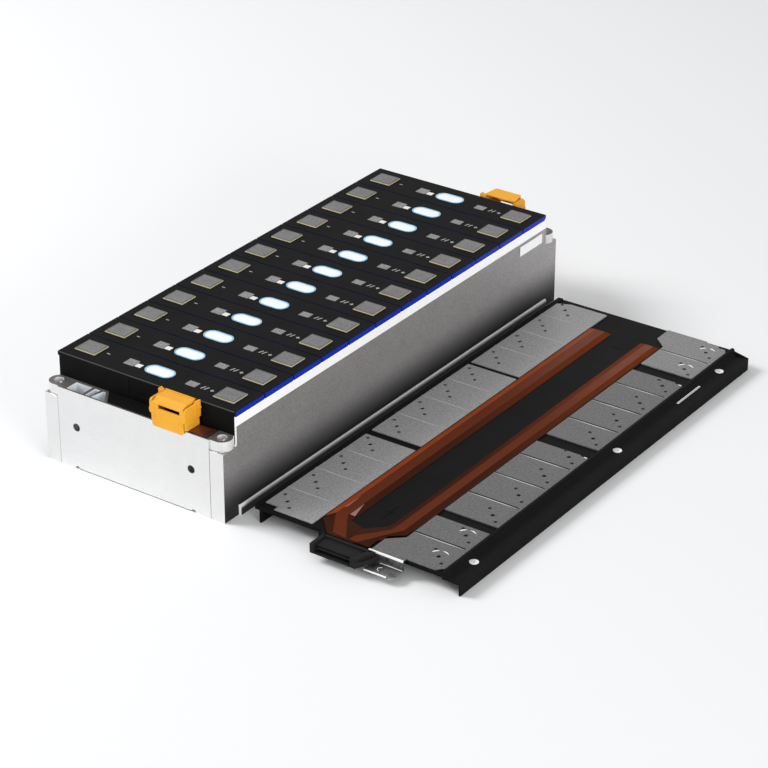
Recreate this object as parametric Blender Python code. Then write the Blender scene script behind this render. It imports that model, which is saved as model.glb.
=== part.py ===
"""A battery module for an electric vehicle, with its contact tray taken off and laid beside it.

Metres, +Z up. The origin is at the middle of the whole model's footprint, on the floor. The module
and the tray both run along Y. X is the module's width, and the tray lies at +X.
"""
import math

import bmesh
import bpy
from mathutils import Matrix, Vector

# Clearances and mesh limits
CLEARANCE = 0.0003
CUT_MARGIN = 0.002
GRID_DIGITS = 6
WELD_DISTANCE = 0.00001
FLAT_ANGLE = 0.001

# Cells
CELL_COUNT = 12
CELL_THICKNESS = 0.0443
CELL_HALF_WIDTH = 0.1083
FOAM_THICKNESS = 0.0006
FOAM_INSET = 0.004
LID_OVERHANG = 0.0017
LID_THICKNESS = 0.0043
LID_CORNER = 0.0012
CELL_TOP_Z = 0.1112
PAD_CENTRE_X = 0.0862
PAD_SIZE_X = 0.0252
PAD_SIZE_Y = 0.0222
PAD_HEIGHT = 0.0016
VENT_LENGTH = 0.0315
VENT_WIDTH = 0.0175
VENT_DEPTH = 0.0005
VENT_SEGMENTS = 10
WINDOW_DEPTH = 0.0005
LEFT_WINDOW_X = -0.0347
LEFT_WINDOW_SIZE = 0.0110
RIGHT_WINDOW_X = 0.0413
RIGHT_WINDOW_SIZE_X = 0.0120
RIGHT_WINDOW_SIZE_Y = 0.0092
WINDOW_SHIFT_Y = -0.0010

# End insulators
INSULATOR_THICKNESS = 0.0012
INSULATOR_POCKET_DEPTH = 0.0006
INSULATOR_POCKET_WIDTH = 0.040
INSULATOR_POCKET_HEIGHT = 0.0155
INSULATOR_POCKET_DROP = 0.0032

# Side plates
SIDE_THICKNESS = 0.0024
SIDE_LIP_WIDTH = 0.012
SIDE_LIP_THICKNESS = 0.0015
SIDE_BAND_HEIGHT = 0.0104
SIDE_BAND_LEAN = 0.0014
FOOT_THICKNESS = 0.0030
FOOT_HEIGHT = 0.0113
FLAP_DROP = 0.0110
FLAP_THICKNESS = 0.0020
FLAP_REACH = 0.0166
SIDE_INNER_RADIUS = 0.0030
SIDE_INNER_SEGMENTS = 4

# End plates
END_PLATE_THICKNESS = 0.0208
END_PLATE_TOP_Z = 0.0860
END_FRONT_WALL = 0.0020
END_BACK_WALL = 0.0036
CHAMBER_BOSS_WALL = 0.0114
CHAMBER_RIB = 0.0036
CHAMBER_WIDTH = 0.0202
TRUSS_FRONT_A = 0.0050
TRUSS_BACK_A = 0.0067
TRUSS_FRONT_B = 0.0180
TRUSS_BACK_B = 0.0030
BOSS_RADIUS = 0.0104
BOSS_OVERHANG = 0.0008
BOSS_FRONT_STEP = 0.0014
BOSS_SEGMENTS = 10
BOSS_LAST_ANGLE = 80
BUSH_OUTER_RADIUS = 0.0062
BUSH_BORE_RADIUS = 0.0053
BUSH_PROUD = 0.0004
BUSH_SEGMENTS = 24
FACE_HOLE_X = 0.0716
FACE_HOLE_Z = 0.0470
FACE_HOLE_RADIUS = 0.0043
HOLE_SEGMENTS = 20
BOTTOM_NOTCH_X = 0.0730
BOTTOM_NOTCH_RADIUS = 0.0030

# Terminal blocks, copper bars and covers
BLOCK_LEFT_FRONT_X = -0.0315
BLOCK_LEFT_BACK_X = -0.0450
BLOCK_BUSH_GAP = 0.0052
BLOCK_DEPTH = 0.0080
BLOCK_PROUD = 0.0005
BAR_LENGTH = 0.0512
BAR_BLOCK_GAP = 0.0058
BAR_WIDTH = 0.0150
BAR_THICKNESS = 0.0020
COVER_BAR_REACH = 0.0374
COVER_WIDTH = 0.0436
COVER_WALL = 0.0020
COVER_FRONT_STANDOFF = 0.0025
COVER_DEPTH = 0.0215
COVER_HEIGHT = 0.0257
COVER_SKIRT_DROP = 0.0042
COVER_SKIRT_INSET = 0.0031
COVER_SKIRT_CORNER = 0.0023
COVER_NOTCH_DEPTH = 0.0051
COVER_NOTCH_DROP = 0.0179
COVER_CHAMFER_RUN = 0.0090
COVER_CHAMFER_DROP = 0.0039
COVER_SLOT_SHIFT_X = 0.0012
COVER_SLOT_WIDTH = 0.0248
COVER_SLOT_HEIGHT = 0.0032
COVER_SLOT_DROP = 0.0056
COVER_WING_REACH = 0.0030
COVER_WING_DEPTH = 0.0050
COVER_WING_DROP = 0.0149
COVER_WING_RISE = 0.0010

# Label
LABEL_LENGTH = 0.0440
LABEL_HEIGHT = 0.0110
LABEL_FAR_GAP = 0.0090
LABEL_BAND_GAP = 0.0032
LABEL_THICKNESS = 0.0004

# Tray
TRAY_OFFSET_X = 0.2403
TRAY_OFFSET_Y = -0.0010
TRAY_END_INSET = 0.0004
TRAY_LEFT_X = -0.1095
TRAY_LEG_SETBACK = 0.0053
TRAY_LEG_THICKNESS = 0.0022
TRAY_DECK_UNDER_Z = 0.0135
TRAY_DECK_THICKNESS = 0.0040
TRAY_BORDER_RISE = 0.0012
TRAY_BORDER_WIDTH = 0.0058
RIM_INNER_X = 0.1052
RIM_WIDTH = 0.0028
RIM_RISE = 0.0025
LEDGE_TOP_Z = 0.0137
LEDGE_THICKNESS = 0.0020
LEDGE_WIDTH = 0.0176
COVE_RADIUS = 0.0075
COVE_SEGMENTS = 5
LIP_THICKNESS = 0.0018
LEDGE_HOLE_SETBACK_X = 0.0111
LEDGE_HOLE_RADIUS = 0.0048
LEDGE_HOLE_YS = (-0.2335, 0.0230, 0.2290)
LEDGE_SLOT_CENTRE_Y = 0.1650
LEDGE_SLOT_LENGTH = 0.0460
LEDGE_SLOT_WIDTH = 0.0025
RIB_FLEX_GAP = 0.0004
RIB_RISE = 0.0010
RIB_NEAR_SETBACK = 0.0231
RIB_FAR_SETBACK = 0.0426
RIB_CHAMFER = 0.0150
RIB_LEFT_CHAMFER = 0.0050
TONGUE_LEFT_X = -0.0300
TONGUE_RIGHT_X = 0.0270
TONGUE_REACH = 0.0061

# Busbar plates: first and last cell, and how far each end stands inside its outer cells' edges
LEFT_PLATES = ((0, 3, 0.0025, 0.0087), (4, 7, 0.0014, 0.0070), (8, 11, -0.0013, 0.0083))
RIGHT_PLATES = (
    (0, 1, 0.0010, 0.0088),
    (2, 5, 0.0050, 0.0140),
    (6, 9, 0.0040, 0.0100),
    (10, 11, 0.0067, 0.0010),
)
PLATE_THICKNESS = 0.0012
PLATE_EDGE_GAP = 0.0008
PLATE_FLEX_GAP_LEFT = 0.0026
PLATE_FLEX_GAP_RIGHT = 0.0006
PLATE_NOTCH_X = 0.0150
PLATE_NOTCH_Y = 0.0065
PLATE_CORNER_X = 0.0075
PLATE_FAR_CORNER_Y = 0.0120
PLATE_WIDE_REACH = 0.0150
PLATE_WIDE_LENGTH = 0.0235
PLATE_WIDE_SLOPE = 0.0135
TAB_FACE_REACH = 0.0055
TAB_REACH = 0.0180
TAB_LEFT_X = 0.0330
TAB_RIGHT_X = 0.0658
TAB_HOLE_X = 0.0470
TAB_HOLE_SETBACK = 0.0085
TAB_HOLE_RADIUS = 0.0028
TAB_CHAMFER = 0.0060
CONTACT_SHIFT_X = 0.0009
CONTACT_SHIFT_Y = -0.0010
CONTACT_RADIUS = 0.0023
CONTACT_SEGMENTS = 10
SIDE_HOLE_RADIUS = 0.0013
SIDE_HOLE_OFFSET = 0.0092
SIDE_HOLE_SEGMENTS = 6

# Flexible circuit
FLEX_THICKNESS = 0.0012
FLEX_LEFT_OUTER_X = -0.0406
FLEX_LEFT_WIDTH = 0.0244
FLEX_RIGHT_INNER_X = 0.0210
FLEX_RIGHT_WIDTH = 0.0222
FLEX_FAR_SETBACK = 0.0443
FLEX_NEAR_REACH = 0.0044
FLEX_CORNER = 0.0200
FLEX_RIGHT_BEND_SETBACK = 0.0331

# Plug housing
PLUG_LEFT_X = -0.0240
PLUG_RIGHT_X = 0.0320
PLUG_DEPTH = 0.0225
PLUG_LOW_Z = 0.0090
PLUG_HEIGHT = 0.0100
PLUG_SLANT = 0.0120
PLUG_MOUTH_INSET_X = 0.0050
PLUG_MOUTH_DEPTH = 0.0150
PLUG_WALL = 0.0020
PLUG_RIDGE_RISE = 0.0008
PLUG_RIDGE_WIDTH = 0.0030

# Sizes and places that follow from the values above
LID_HALF_WIDTH = CELL_HALF_WIDTH + LID_OVERHANG
CELL_PITCH = CELL_THICKNESS + FOAM_THICKNESS + 2 * CLEARANCE
STACK_HALF = (CELL_COUNT - 1) * CELL_PITCH / 2 + CELL_THICKNESS / 2
INSULATOR_INNER_Y = STACK_HALF + CLEARANCE
INSULATOR_OUTER_Y = INSULATOR_INNER_Y + INSULATOR_THICKNESS
END_PLATE_INNER_Y = INSULATOR_OUTER_Y + CLEARANCE
END_PLATE_OUTER_Y = END_PLATE_INNER_Y + END_PLATE_THICKNESS
SIDE_INNER_X = CELL_HALF_WIDTH + CLEARANCE
SIDE_OUTER_X = SIDE_INNER_X + SIDE_THICKNESS
SIDE_HALF_LENGTH = INSULATOR_OUTER_Y - CLEARANCE
FOOT_OUTER_X = SIDE_OUTER_X + FOOT_THICKNESS
FOOT_HALF_LENGTH = SIDE_HALF_LENGTH - CLEARANCE
FLAP_TOP_Z = END_PLATE_TOP_Z - FLAP_DROP
LID_LOW_Z = CELL_TOP_Z - LID_THICKNESS
SIDE_TOP_Z = LID_LOW_Z - CLEARANCE
SIDE_BAND_LOW_Z = SIDE_TOP_Z - SIDE_BAND_HEIGHT
CELL_LOW_Z = SIDE_LIP_THICKNESS + CLEARANCE
BOSS_X = SIDE_OUTER_X + BOSS_OVERHANG - BOSS_RADIUS
BOSS_Y = END_PLATE_OUTER_Y - BOSS_FRONT_STEP - BOSS_RADIUS
CHAMBER_OUTER_X = BOSS_X - BUSH_OUTER_RADIUS - CHAMBER_BOSS_WALL
BLOCK_RIGHT_X = BOSS_X - BUSH_OUTER_RADIUS - BLOCK_BUSH_GAP
BLOCK_TOP_Z = END_PLATE_TOP_Z + BLOCK_PROUD
BLOCK_LOW_Z = END_PLATE_TOP_Z - BLOCK_DEPTH
BAR_RIGHT_X = BLOCK_RIGHT_X - BAR_BLOCK_GAP
BAR_TOP_Z = BLOCK_TOP_Z - CLEARANCE
BAR_LOW_Z = BAR_TOP_Z - BAR_THICKNESS
COVER_CENTRE_X = BAR_RIGHT_X - COVER_BAR_REACH
COVER_HALF_WIDTH = COVER_WIDTH / 2
COVER_SKIRT_HALF = COVER_HALF_WIDTH - COVER_SKIRT_INSET
COVER_FRONT_Y = END_PLATE_OUTER_Y + COVER_FRONT_STANDOFF
COVER_BACK_Y = COVER_FRONT_Y - COVER_DEPTH
COVER_NOTCH_Y = COVER_FRONT_Y - COVER_NOTCH_DEPTH
COVER_LOW_Z = BLOCK_TOP_Z + CLEARANCE
COVER_TOP_Z = COVER_LOW_Z + COVER_HEIGHT
COVER_SHOULDER_Z = COVER_TOP_Z - COVER_CHAMFER_DROP
TRAY_HALF_LENGTH = CELL_COUNT * CELL_PITCH / 2 - TRAY_END_INSET
TRAY_LEG_OUTER_X = TRAY_LEFT_X + TRAY_LEG_SETBACK
TRAY_DECK_TOP_Z = TRAY_DECK_UNDER_Z + TRAY_DECK_THICKNESS
RIM_OUTER_X = RIM_INNER_X + RIM_WIDTH
RIM_TOP_Z = TRAY_DECK_TOP_Z + RIM_RISE
LIP_OUTER_X = RIM_OUTER_X + LEDGE_WIDTH
LIP_INNER_X = LIP_OUTER_X - LIP_THICKNESS
LEDGE_HOLE_X = LIP_OUTER_X - LEDGE_HOLE_SETBACK_X
PLATE_LOW_Z = TRAY_DECK_TOP_Z + CLEARANCE
PLATE_TOP_Z = PLATE_LOW_Z + PLATE_THICKNESS
FLEX_LEFT_INNER_X = FLEX_LEFT_OUTER_X + FLEX_LEFT_WIDTH
FLEX_RIGHT_OUTER_X = FLEX_RIGHT_INNER_X + FLEX_RIGHT_WIDTH
FLEX_FAR_Y = TRAY_HALF_LENGTH - FLEX_FAR_SETBACK
FLEX_NEAR_Y = -TRAY_HALF_LENGTH - FLEX_NEAR_REACH
FLEX_RIGHT_BEND_Y = -TRAY_HALF_LENGTH + FLEX_RIGHT_BEND_SETBACK
RIB_LEFT_X = FLEX_LEFT_INNER_X + RIB_FLEX_GAP
RIB_RIGHT_X = FLEX_RIGHT_INNER_X - RIB_FLEX_GAP
RIB_NEAR_Y = -TRAY_HALF_LENGTH + RIB_NEAR_SETBACK
RIB_FAR_Y = TRAY_HALF_LENGTH - RIB_FAR_SETBACK
LEFT_PLATE_OUTER_X = TRAY_LEFT_X + TRAY_BORDER_WIDTH + PLATE_EDGE_GAP
LEFT_PLATE_INNER_X = FLEX_LEFT_OUTER_X - PLATE_FLEX_GAP_LEFT
RIGHT_PLATE_OUTER_X = RIM_INNER_X - PLATE_EDGE_GAP
RIGHT_PLATE_INNER_X = FLEX_RIGHT_OUTER_X + PLATE_FLEX_GAP_RIGHT
PLATE_WIDE_INNER_X = RIGHT_PLATE_INNER_X - PLATE_WIDE_REACH
CONTACT_X = PAD_CENTRE_X + CONTACT_SHIFT_X
PLUG_BACK_Y = -TRAY_HALF_LENGTH - TONGUE_REACH - CLEARANCE
PLUG_FRONT_Y = PLUG_BACK_Y - PLUG_DEPTH
PLUG_TOP_Z = PLUG_LOW_Z + PLUG_HEIGHT
TAB_TOP_Z = PLUG_LOW_Z - CLEARANCE
MODULE_X = (FOOT_OUTER_X - TRAY_OFFSET_X - LIP_OUTER_X) / 2
MODULE_Y = -(COVER_FRONT_Y + TRAY_OFFSET_Y + PLUG_FRONT_Y) / 2
TRAY_X = MODULE_X + TRAY_OFFSET_X
TRAY_Y = MODULE_Y + TRAY_OFFSET_Y


def clear_scene():
    for obj in list(bpy.data.objects):
        bpy.data.objects.remove(obj, do_unlink=True)


def make_collection(name):
    collection = bpy.data.collections.new(name)
    bpy.context.scene.collection.children.link(collection)
    return collection


def make_material(name, colour, roughness, metallic=0.0):
    material = bpy.data.materials.new(name)
    material.use_nodes = True
    shader = material.node_tree.nodes["Principled BSDF"]
    shader.inputs["Base Color"].default_value = (*colour, 1.0)
    shader.inputs["Roughness"].default_value = roughness
    shader.inputs["Metallic"].default_value = metallic
    return material


def box_mesh(name, low, high):
    """A closed box between two corners."""
    shape = bmesh.new()
    bmesh.ops.create_cube(shape, size=1.0)
    size = Vector(high) - Vector(low)
    middle = (Vector(high) + Vector(low)) / 2
    to_place = Matrix.Translation(middle) @ Matrix.Diagonal((*size, 1.0))
    bmesh.ops.transform(shape, matrix=to_place, verts=shape.verts)
    return finish_mesh(name, shape)


def round_mesh(name, radius, low, high, axis, centre, segments):
    """A closed cylinder along Y or Z, from low to high on that axis."""
    turns = {"Y": Matrix.Rotation(math.pi / 2, 4, "X"), "Z": Matrix()}
    size = {"segments": segments, "radius1": radius, "radius2": radius, "depth": high - low}
    shape = bmesh.new()
    bmesh.ops.create_cone(shape, cap_ends=True, **size)
    bmesh.ops.transform(shape, matrix=turns[axis], verts=shape.verts)
    middle = Vector(centre)
    middle["XYZ".index(axis)] = (low + high) / 2
    bmesh.ops.transform(shape, matrix=Matrix.Translation(middle), verts=shape.verts)
    return finish_mesh(name, shape)


def finish_mesh(name, shape):
    """The shape as a mesh, with its corners on a fine grid so that shared faces meet exactly."""
    for corner in shape.verts:
        corner.co = [round(value, GRID_DIGITS) for value in corner.co]
    bmesh.ops.recalc_face_normals(shape, faces=shape.faces)
    mesh = bpy.data.meshes.new(name)
    shape.to_mesh(mesh)
    shape.free()
    return mesh


def outline_mesh(name, outlines, low, high, plane="XY"):
    """A flat piece with the given outlines, the first outside and the rest holes, as a closed mesh.

    In plane XY the outline's points are x, y; in XZ they are x, z; in YZ they are y, z. The piece
    runs from low to high along the third axis.
    """
    curve = bpy.data.curves.new(name, "CURVE")
    curve.dimensions = "2D"
    curve.fill_mode = "BOTH"
    curve.extrude = (high - low) / 2
    for points in outlines:
        spline = curve.splines.new("POLY")
        spline.points.add(len(points) - 1)
        for point, place in zip(spline.points, points):
            point.co = (place[0], place[1], 0.0, 1.0)
        spline.use_cyclic_u = True
    guide = bpy.data.objects.new(name, curve)
    bpy.context.scene.collection.objects.link(guide)
    evaluated = guide.evaluated_get(bpy.context.evaluated_depsgraph_get())
    mesh = bpy.data.meshes.new_from_object(evaluated)
    bpy.data.objects.remove(guide, do_unlink=True)
    middle = (low + high) / 2
    quarter_x = Matrix.Rotation(math.pi / 2, 4, "X")
    quarter_z = Matrix.Rotation(math.pi / 2, 4, "Z")
    to_plane = {
        "XY": Matrix.Translation((0, 0, middle)),
        "XZ": Matrix.Translation((0, middle, 0)) @ quarter_x,
        "YZ": Matrix.Translation((middle, 0, 0)) @ quarter_z @ quarter_x,
    }[plane]
    shape = bmesh.new()
    shape.from_mesh(mesh)
    bpy.data.meshes.remove(mesh)
    bmesh.ops.remove_doubles(shape, verts=shape.verts, dist=WELD_DISTANCE)
    bmesh.ops.dissolve_limit(shape, angle_limit=FLAT_ANGLE, verts=shape.verts, edges=shape.edges)
    bmesh.ops.transform(shape, matrix=to_plane, verts=shape.verts)
    return finish_mesh(name, shape)


def arc(centre, radius, start, stop, steps):
    """Points on a circle from one angle to another, in degrees, both ends included."""
    points = []
    for step in range(steps + 1):
        angle = math.radians(start + (stop - start) * step / steps)
        points.append((centre[0] + radius * math.cos(angle), centre[1] + radius * math.sin(angle)))
    return points


def circle(centre, radius, segments):
    return arc(centre, radius, 0, 360 * (segments - 1) / segments, segments - 1)


def mirrored(points, flip_x=False, flip_y=False):
    sign_x = -1 if flip_x else 1
    sign_y = -1 if flip_y else 1
    return [(x * sign_x, y * sign_y) for x, y in points]


class Builder:
    """Makes the part's pieces as Blender objects, with their cutters in a collection of their own."""

    def __init__(self):
        self.parts = make_collection("ev_battery_module")
        self.cutters = make_collection("cutters")
        self.materials = {
            "black_plastic": make_material("black_plastic", (0.012, 0.012, 0.012), 0.45),
            "cell_black": make_material("cell_black", (0.013, 0.013, 0.014), 0.5),
            "foam": make_material("foam", (0.20, 0.20, 0.21), 0.9),
            "end_plate_metal": make_material("end_plate_metal", (0.82, 0.83, 0.84), 0.35, 0.4),
            "side_plate_metal": make_material("side_plate_metal", (0.62, 0.62, 0.62), 0.32, 0.8),
            "bush_steel": make_material("bush_steel", (0.70, 0.71, 0.72), 0.25, 1.0),
            "copper": make_material("copper", (0.45, 0.17, 0.08), 0.35, 1.0),
            "orange_plastic": make_material("orange_plastic", (0.86, 0.44, 0.07), 0.4),
            "label": make_material("label", (0.80, 0.80, 0.80), 0.5),
            "busbar_metal": make_material("busbar_metal", (0.42, 0.43, 0.45), 0.4, 0.8),
            "flex_film": make_material("flex_film", (0.17, 0.045, 0.018), 0.35),
        }

    def part(self, name, mesh, material, place=(0, 0, 0), smooth=False):
        obj = bpy.data.objects.new(name, mesh)
        obj.location = place
        if not mesh.materials:
            mesh.materials.append(self.materials[material])
        if smooth:
            mesh.shade_smooth()
            mesh.set_sharp_from_angle(angle=math.radians(30))
        self.parts.objects.link(obj)
        return obj

    def cut(self, target, mesh, operation="DIFFERENCE"):
        """Cuts a shape out of a piece, or joins it on, with an exact Boolean."""
        cutter = bpy.data.objects.new(mesh.name, mesh)
        cutter.parent = target
        cutter.hide_render = True
        cutter.display_type = "WIRE"
        self.cutters.objects.link(cutter)
        boolean = target.modifiers.new(mesh.name, "BOOLEAN")
        boolean.operation = operation
        boolean.solver = "EXACT"
        boolean.object = cutter
        return boolean

    def join(self, target, mesh):
        return self.cut(target, mesh, "UNION")

    def settle(self, target):
        """The piece's mesh with its Booleans applied, so that copies of the piece can share it."""
        bpy.context.view_layer.update()
        evaluated = target.evaluated_get(bpy.context.evaluated_depsgraph_get())
        mesh = bpy.data.meshes.new_from_object(evaluated)
        for cutter in list(target.children):
            bpy.data.objects.remove(cutter, do_unlink=True)
        target.modifiers.clear()
        target.data = mesh
        return mesh


def cell_centre_y(index):
    return (index - (CELL_COUNT - 1) / 2) * CELL_PITCH


def stadium(length, width, segments):
    radius = width / 2
    half = length / 2 - radius
    return arc((half, 0), radius, -90, 90, segments) + arc((-half, 0), radius, 90, 270, segments)


def lid_outline():
    half = CELL_THICKNESS / 2
    corner = [(LID_HALF_WIDTH, half - LID_CORNER), (LID_HALF_WIDTH - LID_CORNER, half)]
    right = mirrored(list(reversed(corner)), flip_y=True) + corner
    return right + mirrored(list(reversed(right)), flip_x=True)


def build_cells(builder):
    """Twelve sealed cells: can, top sheet, two pads and the vent, in one solid each."""
    half = CELL_THICKNESS / 2
    can_top = LID_LOW_Z + LID_THICKNESS / 2
    can = box_mesh("can", (-CELL_HALF_WIDTH, -half, CELL_LOW_Z), (CELL_HALF_WIDTH, half, can_top))
    first = builder.part("cell_01", can, "cell_black")
    builder.join(first, outline_mesh("lid", [lid_outline()], LID_LOW_Z, CELL_TOP_Z))
    for side in (-1, 1):
        low = (side * PAD_CENTRE_X - PAD_SIZE_X / 2, -PAD_SIZE_Y / 2, CELL_TOP_Z - LID_THICKNESS / 2)
        high = (side * PAD_CENTRE_X + PAD_SIZE_X / 2, PAD_SIZE_Y / 2, CELL_TOP_Z + PAD_HEIGHT)
        builder.join(first, box_mesh("pad", low, high))
    vent = stadium(VENT_LENGTH, VENT_WIDTH, VENT_SEGMENTS)
    builder.cut(first, outline_mesh("vent", [vent], CELL_TOP_Z - VENT_DEPTH, CELL_TOP_Z + CUT_MARGIN))
    windows = (
        (LEFT_WINDOW_X, LEFT_WINDOW_SIZE, LEFT_WINDOW_SIZE),
        (RIGHT_WINDOW_X, RIGHT_WINDOW_SIZE_X, RIGHT_WINDOW_SIZE_Y),
    )
    for centre_x, size_x, size_y in windows:
        low = (centre_x - size_x / 2, WINDOW_SHIFT_Y - size_y / 2, CELL_TOP_Z - WINDOW_DEPTH)
        high = (centre_x + size_x / 2, WINDOW_SHIFT_Y + size_y / 2, CELL_TOP_Z + CUT_MARGIN)
        builder.cut(first, box_mesh("window", low, high))
    shared = builder.settle(first)
    first.location = (MODULE_X, MODULE_Y + cell_centre_y(0), 0)
    for index in range(1, CELL_COUNT):
        place = (MODULE_X, MODULE_Y + cell_centre_y(index), 0)
        builder.part(f"cell_{index + 1:02d}", shared, "cell_black", place)


def build_foam_pads(builder):
    half_width = CELL_HALF_WIDTH - FOAM_INSET
    low = (-half_width, -FOAM_THICKNESS / 2, CELL_LOW_Z + FOAM_INSET)
    high = (half_width, FOAM_THICKNESS / 2, LID_LOW_Z)
    shared = box_mesh("foam", low, high)
    for index in range(1, CELL_COUNT):
        middle_y = (cell_centre_y(index - 1) + cell_centre_y(index)) / 2
        builder.part(f"foam_{index:02d}", shared, "foam", (MODULE_X, MODULE_Y + middle_y, 0))


def build_end_insulator(builder, name, end):
    """The black sheet between the last cell and the end plate, with a shallow pocket in its face."""
    low_y, high_y = sorted((end * INSULATOR_INNER_Y, end * INSULATOR_OUTER_Y))
    lower = box_mesh(name, (-CELL_HALF_WIDTH, low_y, CELL_LOW_Z), (CELL_HALF_WIDTH, high_y, CELL_TOP_Z))
    sheet = builder.part(name, lower, "black_plastic", (MODULE_X, MODULE_Y, 0))
    upper_low = (-LID_HALF_WIDTH, low_y, LID_LOW_Z)
    builder.join(sheet, box_mesh("insulator_top", upper_low, (LID_HALF_WIDTH, high_y, CELL_TOP_Z)))
    pocket_floor = INSULATOR_OUTER_Y - INSULATOR_POCKET_DEPTH
    pocket_y = sorted((end * pocket_floor, end * (INSULATOR_OUTER_Y + CUT_MARGIN)))
    pocket_top = CELL_TOP_Z - INSULATOR_POCKET_DROP
    pocket_low = (-INSULATOR_POCKET_WIDTH / 2, pocket_y[0], pocket_top - INSULATOR_POCKET_HEIGHT)
    pocket_high = (INSULATOR_POCKET_WIDTH / 2, pocket_y[1], pocket_top)
    builder.cut(sheet, box_mesh("insulator_pocket", pocket_low, pocket_high))


def end_plate_right_edge():
    """The right half of an end plate's upper outline, back to front, for the end at +Y."""
    reach = SIDE_INNER_X - CLEARANCE - BOSS_X
    start = math.degrees(math.acos(reach / BOSS_RADIUS))
    boss = arc((BOSS_X, BOSS_Y), BOSS_RADIUS, -start, BOSS_LAST_ANGLE, BOSS_SEGMENTS)
    step_x = SIDE_OUTER_X - FLAP_REACH - CLEARANCE
    step = [(step_x, BOSS_Y + BOSS_RADIUS), (step_x, END_PLATE_OUTER_Y)]
    return [(SIDE_INNER_X - CLEARANCE, END_PLATE_INNER_Y)] + boss + step


def whole_outline(right):
    return right + mirrored(list(reversed(right)), flip_x=True)


def chamber_outlines():
    """The open chambers at one side: a rectangle and the two bays of the truss beside it."""
    front = END_PLATE_OUTER_Y - END_FRONT_WALL
    back = END_PLATE_INNER_Y + END_BACK_WALL
    inner = CHAMBER_OUTER_X - CHAMBER_WIDTH
    rectangle = [(CHAMBER_OUTER_X, back), (CHAMBER_OUTER_X, front), (inner, front), (inner, back)]
    bay_x = inner - CHAMBER_RIB
    front_a = bay_x - TRUSS_FRONT_A
    back_a = bay_x - TRUSS_BACK_A
    bay_a = [(bay_x, back), (bay_x, front), (front_a, front), (back_a, back)]
    front_b = front_a - CHAMBER_RIB / 2
    back_b = back_a - CHAMBER_RIB
    bay_b = [(back_b, back), (front_b, front)]
    bay_b += [(front_b - TRUSS_FRONT_B, front), (back_b - TRUSS_BACK_B, back)]
    return [rectangle, bay_a, bay_b]


def block_left_x(y):
    """Where a terminal block's slanting left side is, at a distance y from the module's middle."""
    front = END_PLATE_OUTER_Y - END_FRONT_WALL
    share = (y - END_PLATE_INNER_Y) / (front - END_PLATE_INNER_Y)
    return BLOCK_LEFT_BACK_X + share * (BLOCK_LEFT_FRONT_X - BLOCK_LEFT_BACK_X)


def block_outline(gap, back):
    """A terminal block's outline for the end at +Y, grown by a gap at its sides and front."""
    front = END_PLATE_OUTER_Y - END_FRONT_WALL - CLEARANCE + gap
    left_gap = 2 * gap
    return [
        (block_left_x(back) - left_gap, back),
        (BLOCK_RIGHT_X + gap, back),
        (BLOCK_RIGHT_X + gap, front),
        (block_left_x(front) - left_gap, front),
    ]


def build_end_plate(builder, name, end):
    """A hollow end plate with rounded corner bosses, open chambers and recesses for the flaps."""
    flip = end < 0
    outline = mirrored(whole_outline(end_plate_right_edge()), flip_y=flip)
    plate_mesh = outline_mesh(name, [outline], 0, END_PLATE_TOP_Z)
    plate = builder.part(name, plate_mesh, "end_plate_metal", (MODULE_X, MODULE_Y, 0))
    shoulder_z = FLAP_TOP_Z + CLEARANCE
    cut_top = END_PLATE_TOP_Z + CUT_MARGIN
    for side in (-1, 1):
        side_x = sorted((side * (SIDE_INNER_X - CLEARANCE), side * (SIDE_OUTER_X + CUT_MARGIN)))
        side_y = sorted((end * (END_PLATE_INNER_Y - CUT_MARGIN), end * (END_PLATE_OUTER_Y + CUT_MARGIN)))
        side_low = (side_x[0], side_y[0], -CUT_MARGIN)
        builder.cut(plate, box_mesh("side_recess", side_low, (side_x[1], side_y[1], shoulder_z)))
        flap_x = sorted((side * (SIDE_OUTER_X - FLAP_REACH - CLEARANCE), side * (SIDE_OUTER_X + CUT_MARGIN)))
        flap_inner_y = END_PLATE_OUTER_Y - FLAP_THICKNESS - CLEARANCE
        flap_y = sorted((end * flap_inner_y, end * (END_PLATE_OUTER_Y + CUT_MARGIN)))
        flap_low = (flap_x[0], flap_y[0], -CUT_MARGIN)
        builder.cut(plate, box_mesh("flap_recess", flap_low, (flap_x[1], flap_y[1], shoulder_z)))
        for outline in chamber_outlines():
            shape = mirrored(outline, flip_x=side < 0, flip_y=flip)
            builder.cut(plate, outline_mesh("chamber", [shape], -CUT_MARGIN, cut_top))
        boss = (side * BOSS_X, end * BOSS_Y, 0)
        bore_radius = BUSH_OUTER_RADIUS + CLEARANCE
        bore = round_mesh("bush_bore", bore_radius, -CUT_MARGIN, cut_top, "Z", boss, BUSH_SEGMENTS)
        builder.cut(plate, bore)
        wall_inner = END_PLATE_OUTER_Y - END_FRONT_WALL - CUT_MARGIN
        wall = sorted((end * (END_PLATE_OUTER_Y + CUT_MARGIN), end * wall_inner))
        centre = (side * FACE_HOLE_X, 0, FACE_HOLE_Z)
        hole = round_mesh("face_hole", FACE_HOLE_RADIUS, *wall, "Y", centre, HOLE_SEGMENTS)
        builder.cut(plate, hole)
        centre = (side * BOTTOM_NOTCH_X, 0, 0)
        notch = round_mesh("bottom_notch", BOTTOM_NOTCH_RADIUS, *wall, "Y", centre, HOLE_SEGMENTS)
        builder.cut(plate, notch)
    pocket = mirrored(block_outline(CLEARANCE, END_PLATE_INNER_Y - CUT_MARGIN), flip_y=flip)
    builder.cut(plate, outline_mesh("block_pocket", [pocket], BLOCK_LOW_Z - CLEARANCE, cut_top))


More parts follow.
